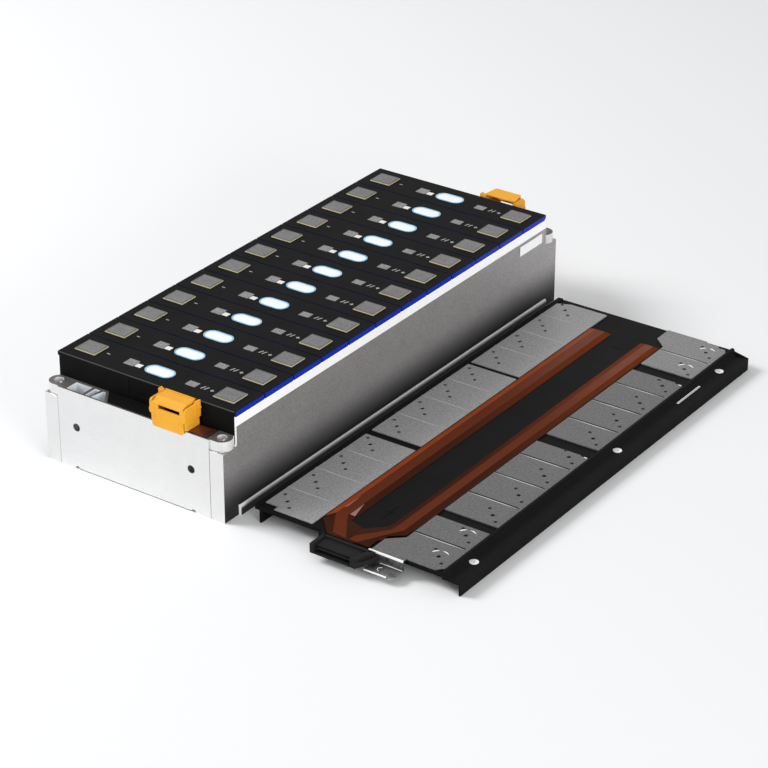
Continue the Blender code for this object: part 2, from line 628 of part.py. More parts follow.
def build_bush(builder, name, side, end):
    centre = (side * BOSS_X, end * BOSS_Y)
    rings = [circle(centre, radius, BUSH_SEGMENTS) for radius in (BUSH_OUTER_RADIUS, BUSH_BORE_RADIUS)]
    mesh = outline_mesh(name, rings, 0, END_PLATE_TOP_Z + BUSH_PROUD)
    builder.part(name, mesh, "bush_steel", (MODULE_X, MODULE_Y, 0), smooth=True)


def side_wall_outline():
    """The wall's outline in Y and Z: long above the flaps' top edge, and longer below it."""
    far_low = END_PLATE_OUTER_Y
    corner = (SIDE_HALF_LENGTH + SIDE_INNER_RADIUS, FLAP_TOP_Z + SIDE_INNER_RADIUS)
    inner = arc(corner, SIDE_INNER_RADIUS, 270, 180, SIDE_INNER_SEGMENTS)
    far = [(far_low, 0), (far_low, FLAP_TOP_Z)] + inner + [(SIDE_HALF_LENGTH, SIDE_BAND_LOW_Z)]
    return far + mirrored(list(reversed(far)), flip_x=True)


def build_side_plate(builder, name, side):
    """A folded side plate: wall, leaning top band, foot outside, lip under the cells, end flaps."""
    place = (MODULE_X, MODULE_Y, 0)
    low, high = sorted((side * SIDE_INNER_X, side * SIDE_OUTER_X))
    wall = outline_mesh(name, [side_wall_outline()], low, high, "YZ")
    plate = builder.part(name, wall, "side_plate_metal", place)
    band = [
        (side * SIDE_INNER_X, SIDE_BAND_LOW_Z - SIDE_THICKNESS),
        (side * SIDE_OUTER_X, SIDE_BAND_LOW_Z - SIDE_THICKNESS),
        (side * SIDE_OUTER_X, SIDE_BAND_LOW_Z),
        (side * (SIDE_OUTER_X - SIDE_BAND_LEAN), SIDE_TOP_Z),
        (side * SIDE_INNER_X, SIDE_TOP_Z),
    ]
    builder.join(plate, outline_mesh("side_band", [band], -SIDE_HALF_LENGTH, SIDE_HALF_LENGTH, "XZ"))
    middle_x = (SIDE_INNER_X + SIDE_OUTER_X) / 2
    foot_high = (FOOT_OUTER_X, FOOT_HALF_LENGTH, FOOT_HEIGHT)
    foot = box_mesh("side_foot", (middle_x, -FOOT_HALF_LENGTH, 0), foot_high)
    lip_high = (middle_x, FOOT_HALF_LENGTH, SIDE_LIP_THICKNESS)
    lip = box_mesh("side_lip", (SIDE_INNER_X - SIDE_LIP_WIDTH, -FOOT_HALF_LENGTH, 0), lip_high)
    flip = Matrix.Diagonal((side, 1, 1, 1))
    for mesh in (foot, lip):
        mesh.transform(flip)
        if side < 0:
            mesh.flip_normals()
        builder.join(plate, mesh)
    for end in (-1, 1):
        flap_x = sorted((side * (SIDE_OUTER_X - FLAP_REACH), side * SIDE_OUTER_X))
        flap_y = sorted((end * (END_PLATE_OUTER_Y - FLAP_THICKNESS), end * END_PLATE_OUTER_Y))
        flap = box_mesh("side_flap", (flap_x[0], flap_y[0], 0), (flap_x[1], flap_y[1], FLAP_TOP_Z))
        builder.join(plate, flap)


def build_terminal_block(builder, name, end):
    """The black block let into an end plate's top, with a recess that holds the copper bar."""
    outline = mirrored(block_outline(0, END_PLATE_INNER_Y + CLEARANCE), flip_y=end < 0)
    place = (MODULE_X, MODULE_Y, 0)
    mesh = outline_mesh(name, [outline], BLOCK_LOW_Z, BLOCK_TOP_Z)
    block = builder.part(name, mesh, "black_plastic", place)
    low, high = bar_corners(end)
    gap = Vector((CLEARANCE, CLEARANCE, CLEARANCE))
    top = Vector((0, 0, CUT_MARGIN))
    builder.cut(block, box_mesh("bar_recess", Vector(low) - gap, Vector(high) + gap + top))


def bar_corners(end):
    middle = (END_PLATE_INNER_Y + END_PLATE_OUTER_Y - END_FRONT_WALL) / 2
    bar_y = sorted((end * (middle - BAR_WIDTH / 2), end * (middle + BAR_WIDTH / 2)))
    return (BAR_RIGHT_X - BAR_LENGTH, bar_y[0], BAR_LOW_Z), (BAR_RIGHT_X, bar_y[1], BAR_TOP_Z)


def build_output_bar(builder, name, end):
    low, high = bar_corners(end)
    builder.part(name, box_mesh(name, low, high), "copper", (MODULE_X, MODULE_Y, 0))


def cover_profile(inset, sign):
    """The cover's outline in Y and Z, moved inwards by a wall, for the end on that side."""
    front = COVER_FRONT_Y - inset
    back = COVER_BACK_Y - inset
    low = COVER_LOW_Z - inset
    shoulder = (front, COVER_SHOULDER_Z - inset)
    bend = (front - COVER_CHAMFER_RUN, COVER_TOP_Z - inset)
    points = [(back, low), (front, low), shoulder, bend, (back, COVER_TOP_Z - inset)]
    return [(sign * y, z) for y, z in points]


def shoulder_outline(side):
    """The corner, in X and Z, that is taken off the cover's top along one side."""
    bend = Vector((COVER_SKIRT_HALF, COVER_TOP_Z))
    shoulder = Vector((COVER_HALF_WIDTH, COVER_SHOULDER_Z))
    corners = [bend * 2 - shoulder, shoulder * 2 - bend, (shoulder.x * 2 - bend.x, bend.y * 2 - shoulder.y)]
    return [(side * x, z) for x, z in corners]


def skirt_outline():
    """The cover's skirt in X and Z, with its two lower corners taken off."""
    low = BLOCK_TOP_Z - COVER_SKIRT_DROP
    corner = COVER_SKIRT_CORNER
    right = [
        (COVER_SKIRT_HALF, COVER_LOW_Z + COVER_WALL),
        (COVER_SKIRT_HALF, low + corner),
        (COVER_SKIRT_HALF - corner, low),
    ]
    return right + mirrored(list(reversed(right)), flip_x=True)


def hollow_cover(builder, cover, end):
    """Opens the cover at its back and underside, under the hood and behind its two front notches."""
    below = COVER_LOW_Z - CUT_MARGIN
    wide_half = COVER_HALF_WIDTH - COVER_WALL
    wide_y = sorted((end * (COVER_BACK_Y - CUT_MARGIN), end * (COVER_NOTCH_Y - COVER_WALL)))
    wide_high = (wide_half, wide_y[1], COVER_SHOULDER_Z - COVER_WALL)
    builder.cut(cover, box_mesh("cover_inside_wide", (-wide_half, wide_y[0], below), wide_high))
    inner_half = COVER_SKIRT_HALF - COVER_WALL
    inside = cover_profile(COVER_WALL, end)
    builder.cut(cover, outline_mesh("cover_inside", [inside], -inner_half, inner_half, "YZ"))
    notch_y = sorted((end * COVER_NOTCH_Y, end * (COVER_FRONT_Y + CUT_MARGIN)))
    notch_top = COVER_TOP_Z - COVER_NOTCH_DROP
    for side in (-1, 1):
        notch_x = sorted((side * COVER_SKIRT_HALF, side * (COVER_HALF_WIDTH + CUT_MARGIN)))
        notch_high = (notch_x[1], notch_y[1], notch_top)
        builder.cut(cover, box_mesh("cover_notch", (notch_x[0], notch_y[0], below), notch_high))


def build_cover(builder, name, end):
    """An orange cover: a shell open at the back and below, with a slot, two wings and a skirt."""
    place = (MODULE_X + COVER_CENTRE_X, MODULE_Y, 0)
    profile = [cover_profile(0, end)]
    shell = outline_mesh(name, profile, -COVER_HALF_WIDTH, COVER_HALF_WIDTH, "YZ")
    cover = builder.part(name, shell, "orange_plastic", place)
    hollow_cover(builder, cover, end)
    depth = sorted((end * (COVER_BACK_Y - CUT_MARGIN), end * (COVER_FRONT_Y + CUT_MARGIN)))
    for side in (-1, 1):
        builder.cut(cover, outline_mesh("cover_shoulder", [shoulder_outline(side)], *depth, "XZ"))
        outer = COVER_HALF_WIDTH + COVER_WING_REACH
        wing_x = sorted((side * (COVER_HALF_WIDTH - COVER_WALL), side * outer))
        wing_y = sorted((end * COVER_BACK_Y, end * (COVER_BACK_Y + COVER_WING_DEPTH)))
        wing_low = (wing_x[0], wing_y[0], COVER_TOP_Z - COVER_WING_DROP)
        wing_high = (wing_x[1], wing_y[1], COVER_TOP_Z + COVER_WING_RISE)
        builder.join(cover, box_mesh("cover_wing", wing_low, wing_high))
    skirt_y = sorted((end * COVER_FRONT_Y, end * (END_PLATE_OUTER_Y + CLEARANCE)))
    builder.join(cover, outline_mesh("cover_skirt", [skirt_outline()], *skirt_y, "XZ"))
    slot_y = sorted((end * (COVER_FRONT_Y + CUT_MARGIN), end * (COVER_FRONT_Y - COVER_WALL - CUT_MARGIN)))
    slot_top = COVER_TOP_Z - COVER_SLOT_DROP
    slot_left = COVER_SLOT_SHIFT_X - COVER_SLOT_WIDTH / 2
    slot_low = (slot_left, slot_y[0], slot_top - COVER_SLOT_HEIGHT)
    slot_high = (slot_left + COVER_SLOT_WIDTH, slot_y[1], slot_top)
    builder.cut(cover, box_mesh("cover_slot", slot_low, slot_high))


def build_label(builder):
    """The blank label on the right side plate, near its far end and under the top band."""
    inner = SIDE_OUTER_X + CLEARANCE
    far = SIDE_HALF_LENGTH - LABEL_FAR_GAP
    top = SIDE_BAND_LOW_Z - LABEL_BAND_GAP
    low = (inner, far - LABEL_LENGTH, top - LABEL_HEIGHT)
    sheet = box_mesh("label", low, (inner + LABEL_THICKNESS, far, top))
    builder.part("label", sheet, "label", (MODULE_X, MODULE_Y, 0))


def tray_profile():
    """The carrier's cross-section in X and Z, from the left edge round to the coved right side."""
    leg_inner = TRAY_LEG_OUTER_X + TRAY_LEG_THICKNESS
    cove_centre = (RIM_OUTER_X + COVE_RADIUS, LEDGE_TOP_Z + COVE_RADIUS)
    rim_angle = 180 + math.degrees(math.asin((cove_centre[1] - RIM_TOP_Z) / COVE_RADIUS))
    cove = arc(cove_centre, COVE_RADIUS, 270, rim_angle, COVE_SEGMENTS)
    border_x = TRAY_LEFT_X + TRAY_BORDER_WIDTH
    ledge_under = LEDGE_TOP_Z - LEDGE_THICKNESS
    lower = [
        (TRAY_LEFT_X, TRAY_DECK_UNDER_Z),
        (TRAY_LEG_OUTER_X, TRAY_DECK_UNDER_Z),
        (TRAY_LEG_OUTER_X, 0),
        (leg_inner, 0),
        (leg_inner, TRAY_DECK_UNDER_Z),
        (RIM_INNER_X, TRAY_DECK_UNDER_Z),
        (RIM_INNER_X, ledge_under),
        (LIP_INNER_X, ledge_under),
        (LIP_INNER_X, 0),
        (LIP_OUTER_X, 0),
        (LIP_OUTER_X, LEDGE_TOP_Z),
    ]
    upper = [
        (RIM_INNER_X, RIM_TOP_Z),
        (RIM_INNER_X, TRAY_DECK_TOP_Z),
        (border_x, TRAY_DECK_TOP_Z),
        (border_x, TRAY_DECK_TOP_Z + TRAY_BORDER_RISE),
        (TRAY_LEFT_X, TRAY_DECK_TOP_Z + TRAY_BORDER_RISE),
    ]
    return lower + cove + upper


def rib_outline():
    return [
        (RIB_LEFT_X, RIB_FAR_Y),
        (RIB_LEFT_X, RIB_NEAR_Y + RIB_LEFT_CHAMFER),
        (RIB_LEFT_X + RIB_CHAMFER, RIB_NEAR_Y),
        (RIB_RIGHT_X - RIB_CHAMFER, RIB_NEAR_Y),
        (RIB_RIGHT_X, RIB_NEAR_Y + RIB_CHAMFER),
        (RIB_RIGHT_X, RIB_FAR_Y),
    ]


def build_tray_carrier(builder):
    """The tray's moulded carrier: deck, left leg, right cove, ledge and lip, and a middle rib."""
    place = (TRAY_X, TRAY_Y, 0)
    profile = outline_mesh("tray_carrier", [tray_profile()], -TRAY_HALF_LENGTH, TRAY_HALF_LENGTH, "XZ")
    carrier = builder.part("tray_carrier", profile, "black_plastic", place)
    rib_low = TRAY_DECK_UNDER_Z + RIB_RISE
    rib_high = TRAY_DECK_TOP_Z + RIB_RISE
    builder.join(carrier, outline_mesh("tray_rib", [rib_outline()], rib_low, rib_high))
    tongue_low = (TONGUE_LEFT_X, -TRAY_HALF_LENGTH - TONGUE_REACH, TRAY_DECK_UNDER_Z)
    tongue_high = (TONGUE_RIGHT_X, -TRAY_HALF_LENGTH + CUT_MARGIN, TRAY_DECK_TOP_Z)
    builder.join(carrier, box_mesh("tray_tongue", tongue_low, tongue_high))
    ledge_low = LEDGE_TOP_Z - LEDGE_THICKNESS - CUT_MARGIN
    ledge_high = RIM_TOP_Z + CUT_MARGIN
    for hole_y in LEDGE_HOLE_YS:
        centre = (LEDGE_HOLE_X, hole_y, 0)
        hole = round_mesh("ledge_hole", LEDGE_HOLE_RADIUS, ledge_low, ledge_high, "Z", centre, HOLE_SEGMENTS)
        builder.cut(carrier, hole)
    slot_low = (LEDGE_HOLE_X - LEDGE_SLOT_WIDTH, LEDGE_SLOT_CENTRE_Y - LEDGE_SLOT_LENGTH / 2, ledge_low)
    slot_high = (LEDGE_HOLE_X, LEDGE_SLOT_CENTRE_Y + LEDGE_SLOT_LENGTH / 2, ledge_high)
    builder.cut(carrier, box_mesh("ledge_slot", slot_low, slot_high))


def contact_holes(side, first_cell, last_cell):
    """The weld holes of the cells that a busbar plate joins: one middle hole and two small ones."""
    holes = []
    for index in range(first_cell, last_cell + 1):
        centre = (side * CONTACT_X, cell_centre_y(index) + CONTACT_SHIFT_Y)
        holes.append(circle(centre, CONTACT_RADIUS, CONTACT_SEGMENTS))
        for step in (-1, 1):
            small = (centre[0] - step * SIDE_HOLE_OFFSET, centre[1] + step * SIDE_HOLE_OFFSET)
            holes.append(circle(small, SIDE_HOLE_RADIUS, SIDE_HOLE_SEGMENTS))
    return holes


def plate_ends(first_cell, last_cell, near_inset, far_inset):
    """Where a busbar plate starts and ends along the tray."""
    near = cell_centre_y(first_cell) - CELL_PITCH / 2 + near_inset
    far = cell_centre_y(last_cell) + CELL_PITCH / 2 - far_inset
    return near, far


def left_plate_outline(number, near, far):
    """A left plate: the first has a notch at its near corner, the last a chamfer at its far one."""
    outer = LEFT_PLATE_OUTER_X
    inner = LEFT_PLATE_INNER_X
    near_corner = [(outer, near)]
    far_corner = [(outer, far)]
    if number == 0:
        notch = outer + PLATE_NOTCH_X
        near_corner = [(outer, near + PLATE_NOTCH_Y), (notch, near + PLATE_NOTCH_Y), (notch, near)]
    if number == len(LEFT_PLATES) - 1:
        far_corner = [(outer + PLATE_NOTCH_X, far), (outer, far - PLATE_NOTCH_Y)]
    return near_corner + [(inner, near), (inner, far)] + far_corner


def wide_end(near):
    """The inner edge of an end plate of the right row: a widened part, then a slope back."""
    return [
        (PLATE_WIDE_INNER_X, near),
        (PLATE_WIDE_INNER_X, near + PLATE_WIDE_LENGTH),
        (RIGHT_PLATE_INNER_X, near + PLATE_WIDE_LENGTH + PLATE_WIDE_SLOPE),
    ]


def right_plate_outline(number, near, far):
    """A right plate: the first and last are widened towards the middle and chamfered outside."""
    outer = RIGHT_PLATE_OUTER_X
    inner = RIGHT_PLATE_INNER_X
    near_side = [(outer, near), (inner, near)]
    far_side = [(inner, far), (outer, far)]
    if number == 0:
        edge = near - TAB_FACE_REACH
        near_side = [(outer, near + PLATE_NOTCH_Y), (outer - PLATE_CORNER_X, near), (TAB_RIGHT_X, near)]
        near_side += [(TAB_RIGHT_X, edge)] + wide_end(edge)
    if number == len(RIGHT_PLATES) - 1:
        far_side = mirrored(list(reversed(wide_end(-far))), flip_y=True)
        far_side += [(outer - PLATE_CORNER_X, far), (outer, far - PLATE_FAR_CORNER_Y)]
    return near_side + far_side


def build_busbar_plates(builder):
    """Three plates along the tray's left side, and four along its right, each over its cells."""
    rows = ((-1, "left", LEFT_PLATES, left_plate_outline), (1, "right", RIGHT_PLATES, right_plate_outline))
    for side, side_name, plates, make_outline in rows:
        for number, (first_cell, last_cell, near_inset, far_inset) in enumerate(plates):
            near, far = plate_ends(first_cell, last_cell, near_inset, far_inset)
            name = f"busbar_{side_name}_{number + 1}"
            outlines = [make_outline(number, near, far), *contact_holes(side, first_cell, last_cell)]
            mesh = outline_mesh(name, outlines, PLATE_LOW_Z, PLATE_TOP_Z)
            plate = builder.part(name, mesh, "busbar_metal", (TRAY_X, TRAY_Y, 0))
            if side > 0 and number == 0:
                join_terminal_tab(builder, plate, near - TAB_FACE_REACH)


def join_terminal_tab(builder, plate, edge_y):
    """The first right plate's edge folds down, and then out into a tab with a bolt hole."""
    drop_low = (PLATE_WIDE_INNER_X, edge_y, TAB_TOP_Z - PLATE_THICKNESS)
    drop_high = (TAB_RIGHT_X, edge_y + PLATE_THICKNESS, PLATE_TOP_Z - PLATE_THICKNESS / 2)
    builder.join(plate, box_mesh("tab_drop", drop_low, drop_high))
    tab_end = edge_y - TAB_REACH
    tab = [
        (TAB_LEFT_X, edge_y + PLATE_THICKNESS / 2),
        (TAB_LEFT_X, tab_end),
        (TAB_RIGHT_X - TAB_CHAMFER, tab_end),
        (TAB_RIGHT_X, tab_end + TAB_CHAMFER),
        (TAB_RIGHT_X, edge_y + PLATE_THICKNESS / 2),
    ]
    hole = circle((TAB_HOLE_X, tab_end + TAB_HOLE_SETBACK), TAB_HOLE_RADIUS, HOLE_SEGMENTS)
    builder.join(plate, outline_mesh("tab", [tab, hole], TAB_TOP_Z - PLATE_THICKNESS, TAB_TOP_Z))


def flex_outline():
    """Two strips along the tray's middle, joined by a band round the rib's near end."""
    inner_near = RIB_NEAR_Y - CLEARANCE
    outer = [
        (FLEX_LEFT_INNER_X, FLEX_FAR_Y),
        (FLEX_LEFT_OUTER_X, FLEX_FAR_Y),
        (FLEX_LEFT_OUTER_X, FLEX_NEAR_Y + FLEX_CORNER),
        (FLEX_LEFT_OUTER_X + FLEX_CORNER, FLEX_NEAR_Y),
        (PLATE_WIDE_INNER_X - FLEX_CORNER, FLEX_NEAR_Y),
        (PLATE_WIDE_INNER_X - 2 * CLEARANCE, FLEX_NEAR_Y + FLEX_CORNER),
        (PLATE_WIDE_INNER_X - 2 * CLEARANCE, FLEX_RIGHT_BEND_Y - CLEARANCE),
        (FLEX_RIGHT_OUTER_X, FLEX_RIGHT_BEND_Y + PLATE_WIDE_SLOPE),
        (FLEX_RIGHT_OUTER_X, FLEX_FAR_Y),
        (FLEX_RIGHT_INNER_X, FLEX_FAR_Y),
    ]
    inner = [
        (FLEX_RIGHT_INNER_X, RIB_NEAR_Y + RIB_CHAMFER),
        (FLEX_RIGHT_INNER_X - RIB_CHAMFER, inner_near),
        (FLEX_LEFT_INNER_X + RIB_CHAMFER, inner_near),
        (FLEX_LEFT_INNER_X, RIB_NEAR_Y + RIB_LEFT_CHAMFER),
    ]
    return outer + inner


def build_flex_circuit(builder):
    mesh = outline_mesh("flex_circuit", [flex_outline()], PLATE_LOW_Z, PLATE_LOW_Z + FLEX_THICKNESS)
    builder.part("flex_circuit", mesh, "flex_film", (TRAY_X, TRAY_Y, 0))


def build_plug_housing(builder):
    """The black plug housing, with a ridge round its top and an open mouth in its near face."""
    outline = [
        (PLUG_LEFT_X, PLUG_BACK_Y),
        (PLUG_LEFT_X, PLUG_FRONT_Y),
        (PLUG_RIGHT_X, PLUG_FRONT_Y),
        (PLUG_RIGHT_X + PLUG_SLANT, PLUG_BACK_Y - PLUG_RIDGE_WIDTH),
        (PLUG_RIGHT_X - PLUG_RIDGE_WIDTH, PLUG_BACK_Y),
    ]
    place = (TRAY_X, TRAY_Y, 0)
    body = outline_mesh("plug_housing", [outline], PLUG_LOW_Z, PLUG_TOP_Z)
    housing = builder.part("plug_housing", body, "black_plastic", place)
    ridge_low = (PLUG_LEFT_X, PLUG_FRONT_Y, PLUG_TOP_Z - PLUG_RIDGE_RISE)
    ridge_high = (PLUG_RIGHT_X, PLUG_FRONT_Y + PLUG_RIDGE_WIDTH, PLUG_TOP_Z + PLUG_RIDGE_RISE)
    builder.join(housing, box_mesh("plug_ridge", ridge_low, ridge_high))
    mouth_low = (PLUG_LEFT_X + PLUG_MOUTH_INSET_X, PLUG_FRONT_Y - CUT_MARGIN, PLUG_LOW_Z + PLUG_WALL)
    mouth_high = (
        PLUG_RIGHT_X - PLUG_MOUTH_INSET_X,
        PLUG_FRONT_Y + PLUG_MOUTH_DEPTH,
        PLUG_TOP_Z - PLUG_WALL,
    )
    builder.cut(housing, box_mesh("plug_mouth", mouth_low, mouth_high))


def build_module(builder):
    build_cells(builder)
    build_foam_pads(builder)
    for end, end_name in ((-1, "near"), (1, "far")):
        build_end_insulator(builder, f"end_insulator_{end_name}", end)
        build_end_plate(builder, f"end_plate_{end_name}", end)
        build_terminal_block(builder, f"terminal_block_{end_name}", end)
        build_output_bar(builder, f"output_bar_{end_name}", end)
        build_cover(builder, f"terminal_cover_{end_name}", end)
        for side, side_name in ((-1, "left"), (1, "right")):
            build_bush(builder, f"bush_{end_name}_{side_name}", side, end)
    build_side_plate(builder, "side_plate_left", -1)
    build_side_plate(builder, "side_plate_right", 1)
    build_label(builder)


def build_tray(builder):
    build_tray_carrier(builder)
    build_busbar_plates(builder)
    build_flex_circuit(builder)
    build_plug_housing(builder)


def main():
    clear_scene()
    builder = Builder()
    build_module(builder)
    build_tray(builder)


main()
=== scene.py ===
"""The looks of an opened battery module for an electric vehicle, with its contact tray beside it.

Metres, +Z up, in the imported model's frame. Sizes inside the classes are measured from the module's
or the tray's own middle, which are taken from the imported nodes. Pieces at the module's two ends are
drawn for the far end, with Y as the distance from the middle, and turned over for the near end.
"""

import logging
import math
from collections.abc import Callable, Iterable, Sequence
from dataclasses import dataclass, field
from enum import Enum

import bmesh
import bpy
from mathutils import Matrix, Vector


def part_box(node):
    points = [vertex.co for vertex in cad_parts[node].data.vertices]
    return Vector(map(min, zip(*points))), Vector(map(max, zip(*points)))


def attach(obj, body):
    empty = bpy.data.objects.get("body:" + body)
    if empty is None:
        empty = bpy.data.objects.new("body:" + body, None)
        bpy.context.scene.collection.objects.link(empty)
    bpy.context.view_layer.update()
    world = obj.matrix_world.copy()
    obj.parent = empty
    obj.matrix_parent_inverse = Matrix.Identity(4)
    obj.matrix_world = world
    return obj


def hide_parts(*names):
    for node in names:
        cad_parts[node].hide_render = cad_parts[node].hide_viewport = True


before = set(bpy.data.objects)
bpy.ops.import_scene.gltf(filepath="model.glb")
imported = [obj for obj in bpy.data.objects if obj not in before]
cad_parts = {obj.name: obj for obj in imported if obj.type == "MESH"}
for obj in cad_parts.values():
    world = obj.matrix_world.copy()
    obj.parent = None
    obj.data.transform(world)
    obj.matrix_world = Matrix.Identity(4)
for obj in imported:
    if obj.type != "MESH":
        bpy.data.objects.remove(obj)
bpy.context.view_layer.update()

LOG = logging.getLogger("battery_module")
BODY = "root"
CELL_COUNT = 12
CELL_PITCH = 0.0455

# Edges sharper than this are rounded, and shaded as edges
SHARP_ANGLE = math.radians(29)
EDGE_STEPS = 2
EDGE_PROFILE = 0.6

# Packed faces that lie this flat, and points this close together, are joined again
FLAT_ANGLE = math.radians(1)
WELD = 0.00001

# Level faces, and faces of this many square metres or more, are shaded flat
LEVEL = 0.9999
FLAT_AREA = 0.00003

# A face whose normal rises less than this counts as upright
UPRIGHT = 0.5

# How far a cutter reaches past what it cuts, and how deep added relief is sunk in its ground
THROUGH = 0.01
SUNK = 0.0001

# The noise in every finish, and the parts of its range that set the colour and the gloss
NOISE_DETAIL = 3.0
NOISE_ROUGHNESS = 0.6
MOTTLE_SPAN = (0.35, 0.65)
GLOSS_SPAN = (0.3, 0.7)
BUMP_STRENGTH = 0.6

Point = tuple[float, float]
Colour = tuple[float, float, float]
FaceTest = Callable[[Vector, Vector], bool]
Solid = bmesh.types.BMesh
Tree = bpy.types.NodeTree
Socket = bpy.types.NodeSocket


class End(Enum):
    """An end of the module, as the sign of its Y."""

    NEAR = -1
    FAR = 1

    @property
    def word(self) -> str:
        """The end's name in the names of nodes."""
        return self.name.lower()


class Side(Enum):
    """A side of the module, as the sign of its X."""

    LEFT = -1
    RIGHT = 1

    @property
    def word(self) -> str:
        """The side's name in the names of nodes."""
        return self.name.lower()


class Plane(Enum):
    """The plane that an outline is drawn in, as where its two values and its height go."""

    XY = (0, 1, 2)
    XZ = (0, 2, 1)
    YZ = (1, 2, 0)

    def point(self, flat: Point, height: float) -> Vector:
        """A point in space.

        Args:
            flat: The two values in the plane.
            height: The distance along the plane's own axis.

        Returns:
            The point.
        """
        place = Vector()
        for axis, value in zip(self.value, (*flat, height)):
            place[axis] = value
        return place


class Grain(Enum):
    """How a finish is drawn out, as the scale of its noise along X, Y and Z."""

    EVEN = (1.0, 1.0, 1.0)
    ALONG_Y = (1.0, 0.03, 1.0)
    ROUND_Z = (1.0, 1.0, 0.05)


def linear(colour: Colour) -> tuple[float, float, float, float]:
    """A colour as it shows on a screen, from 0 to 1, turned into the linear values of a shader.

    Args:
        colour: Red, green and blue as shown.

    Returns:
        The linear colour, opaque.
    """
    values = [c / 12.92 if c <= 0.04045 else ((c + 0.055) / 1.055) ** 2.4 for c in colour]
    return (values[0], values[1], values[2], 1.0)


def mapped(tree: Tree, value: Socket, span: Point, result: Point = (0.0, 1.0)) -> bpy.types.Node:
    """Adds a node that maps a range of values to another range.

    Args:
        tree: The material's nodes.
        value: The value.
        span: The range that it comes in.
        result: The range that it gets.

    Returns:
        The node.
    """
    node = tree.nodes.new("ShaderNodeMapRange")
    labels = ("From Min", "From Max", "To Min", "To Max")
    for label, number in zip(labels, (*span, *result)):
        node.inputs[label].default_value = number
    tree.links.new(value, node.inputs["Value"])
    return node


def colour_mix(tree: Tree, share: Socket, first: Colour) -> bpy.types.Node:
    """Adds a node that mixes a colour with a second one, which is set afterwards.

    Args:
        tree: The material's nodes.
        share: The second colour's share.
        first: The first colour.

    Returns:
        The node.
    """
    mix = tree.nodes.new("ShaderNodeMix")
    mix.data_type = "RGBA"
    mix.inputs["A"].default_value = linear(first)
    tree.links.new(share, mix.inputs["Factor"])
    return mix


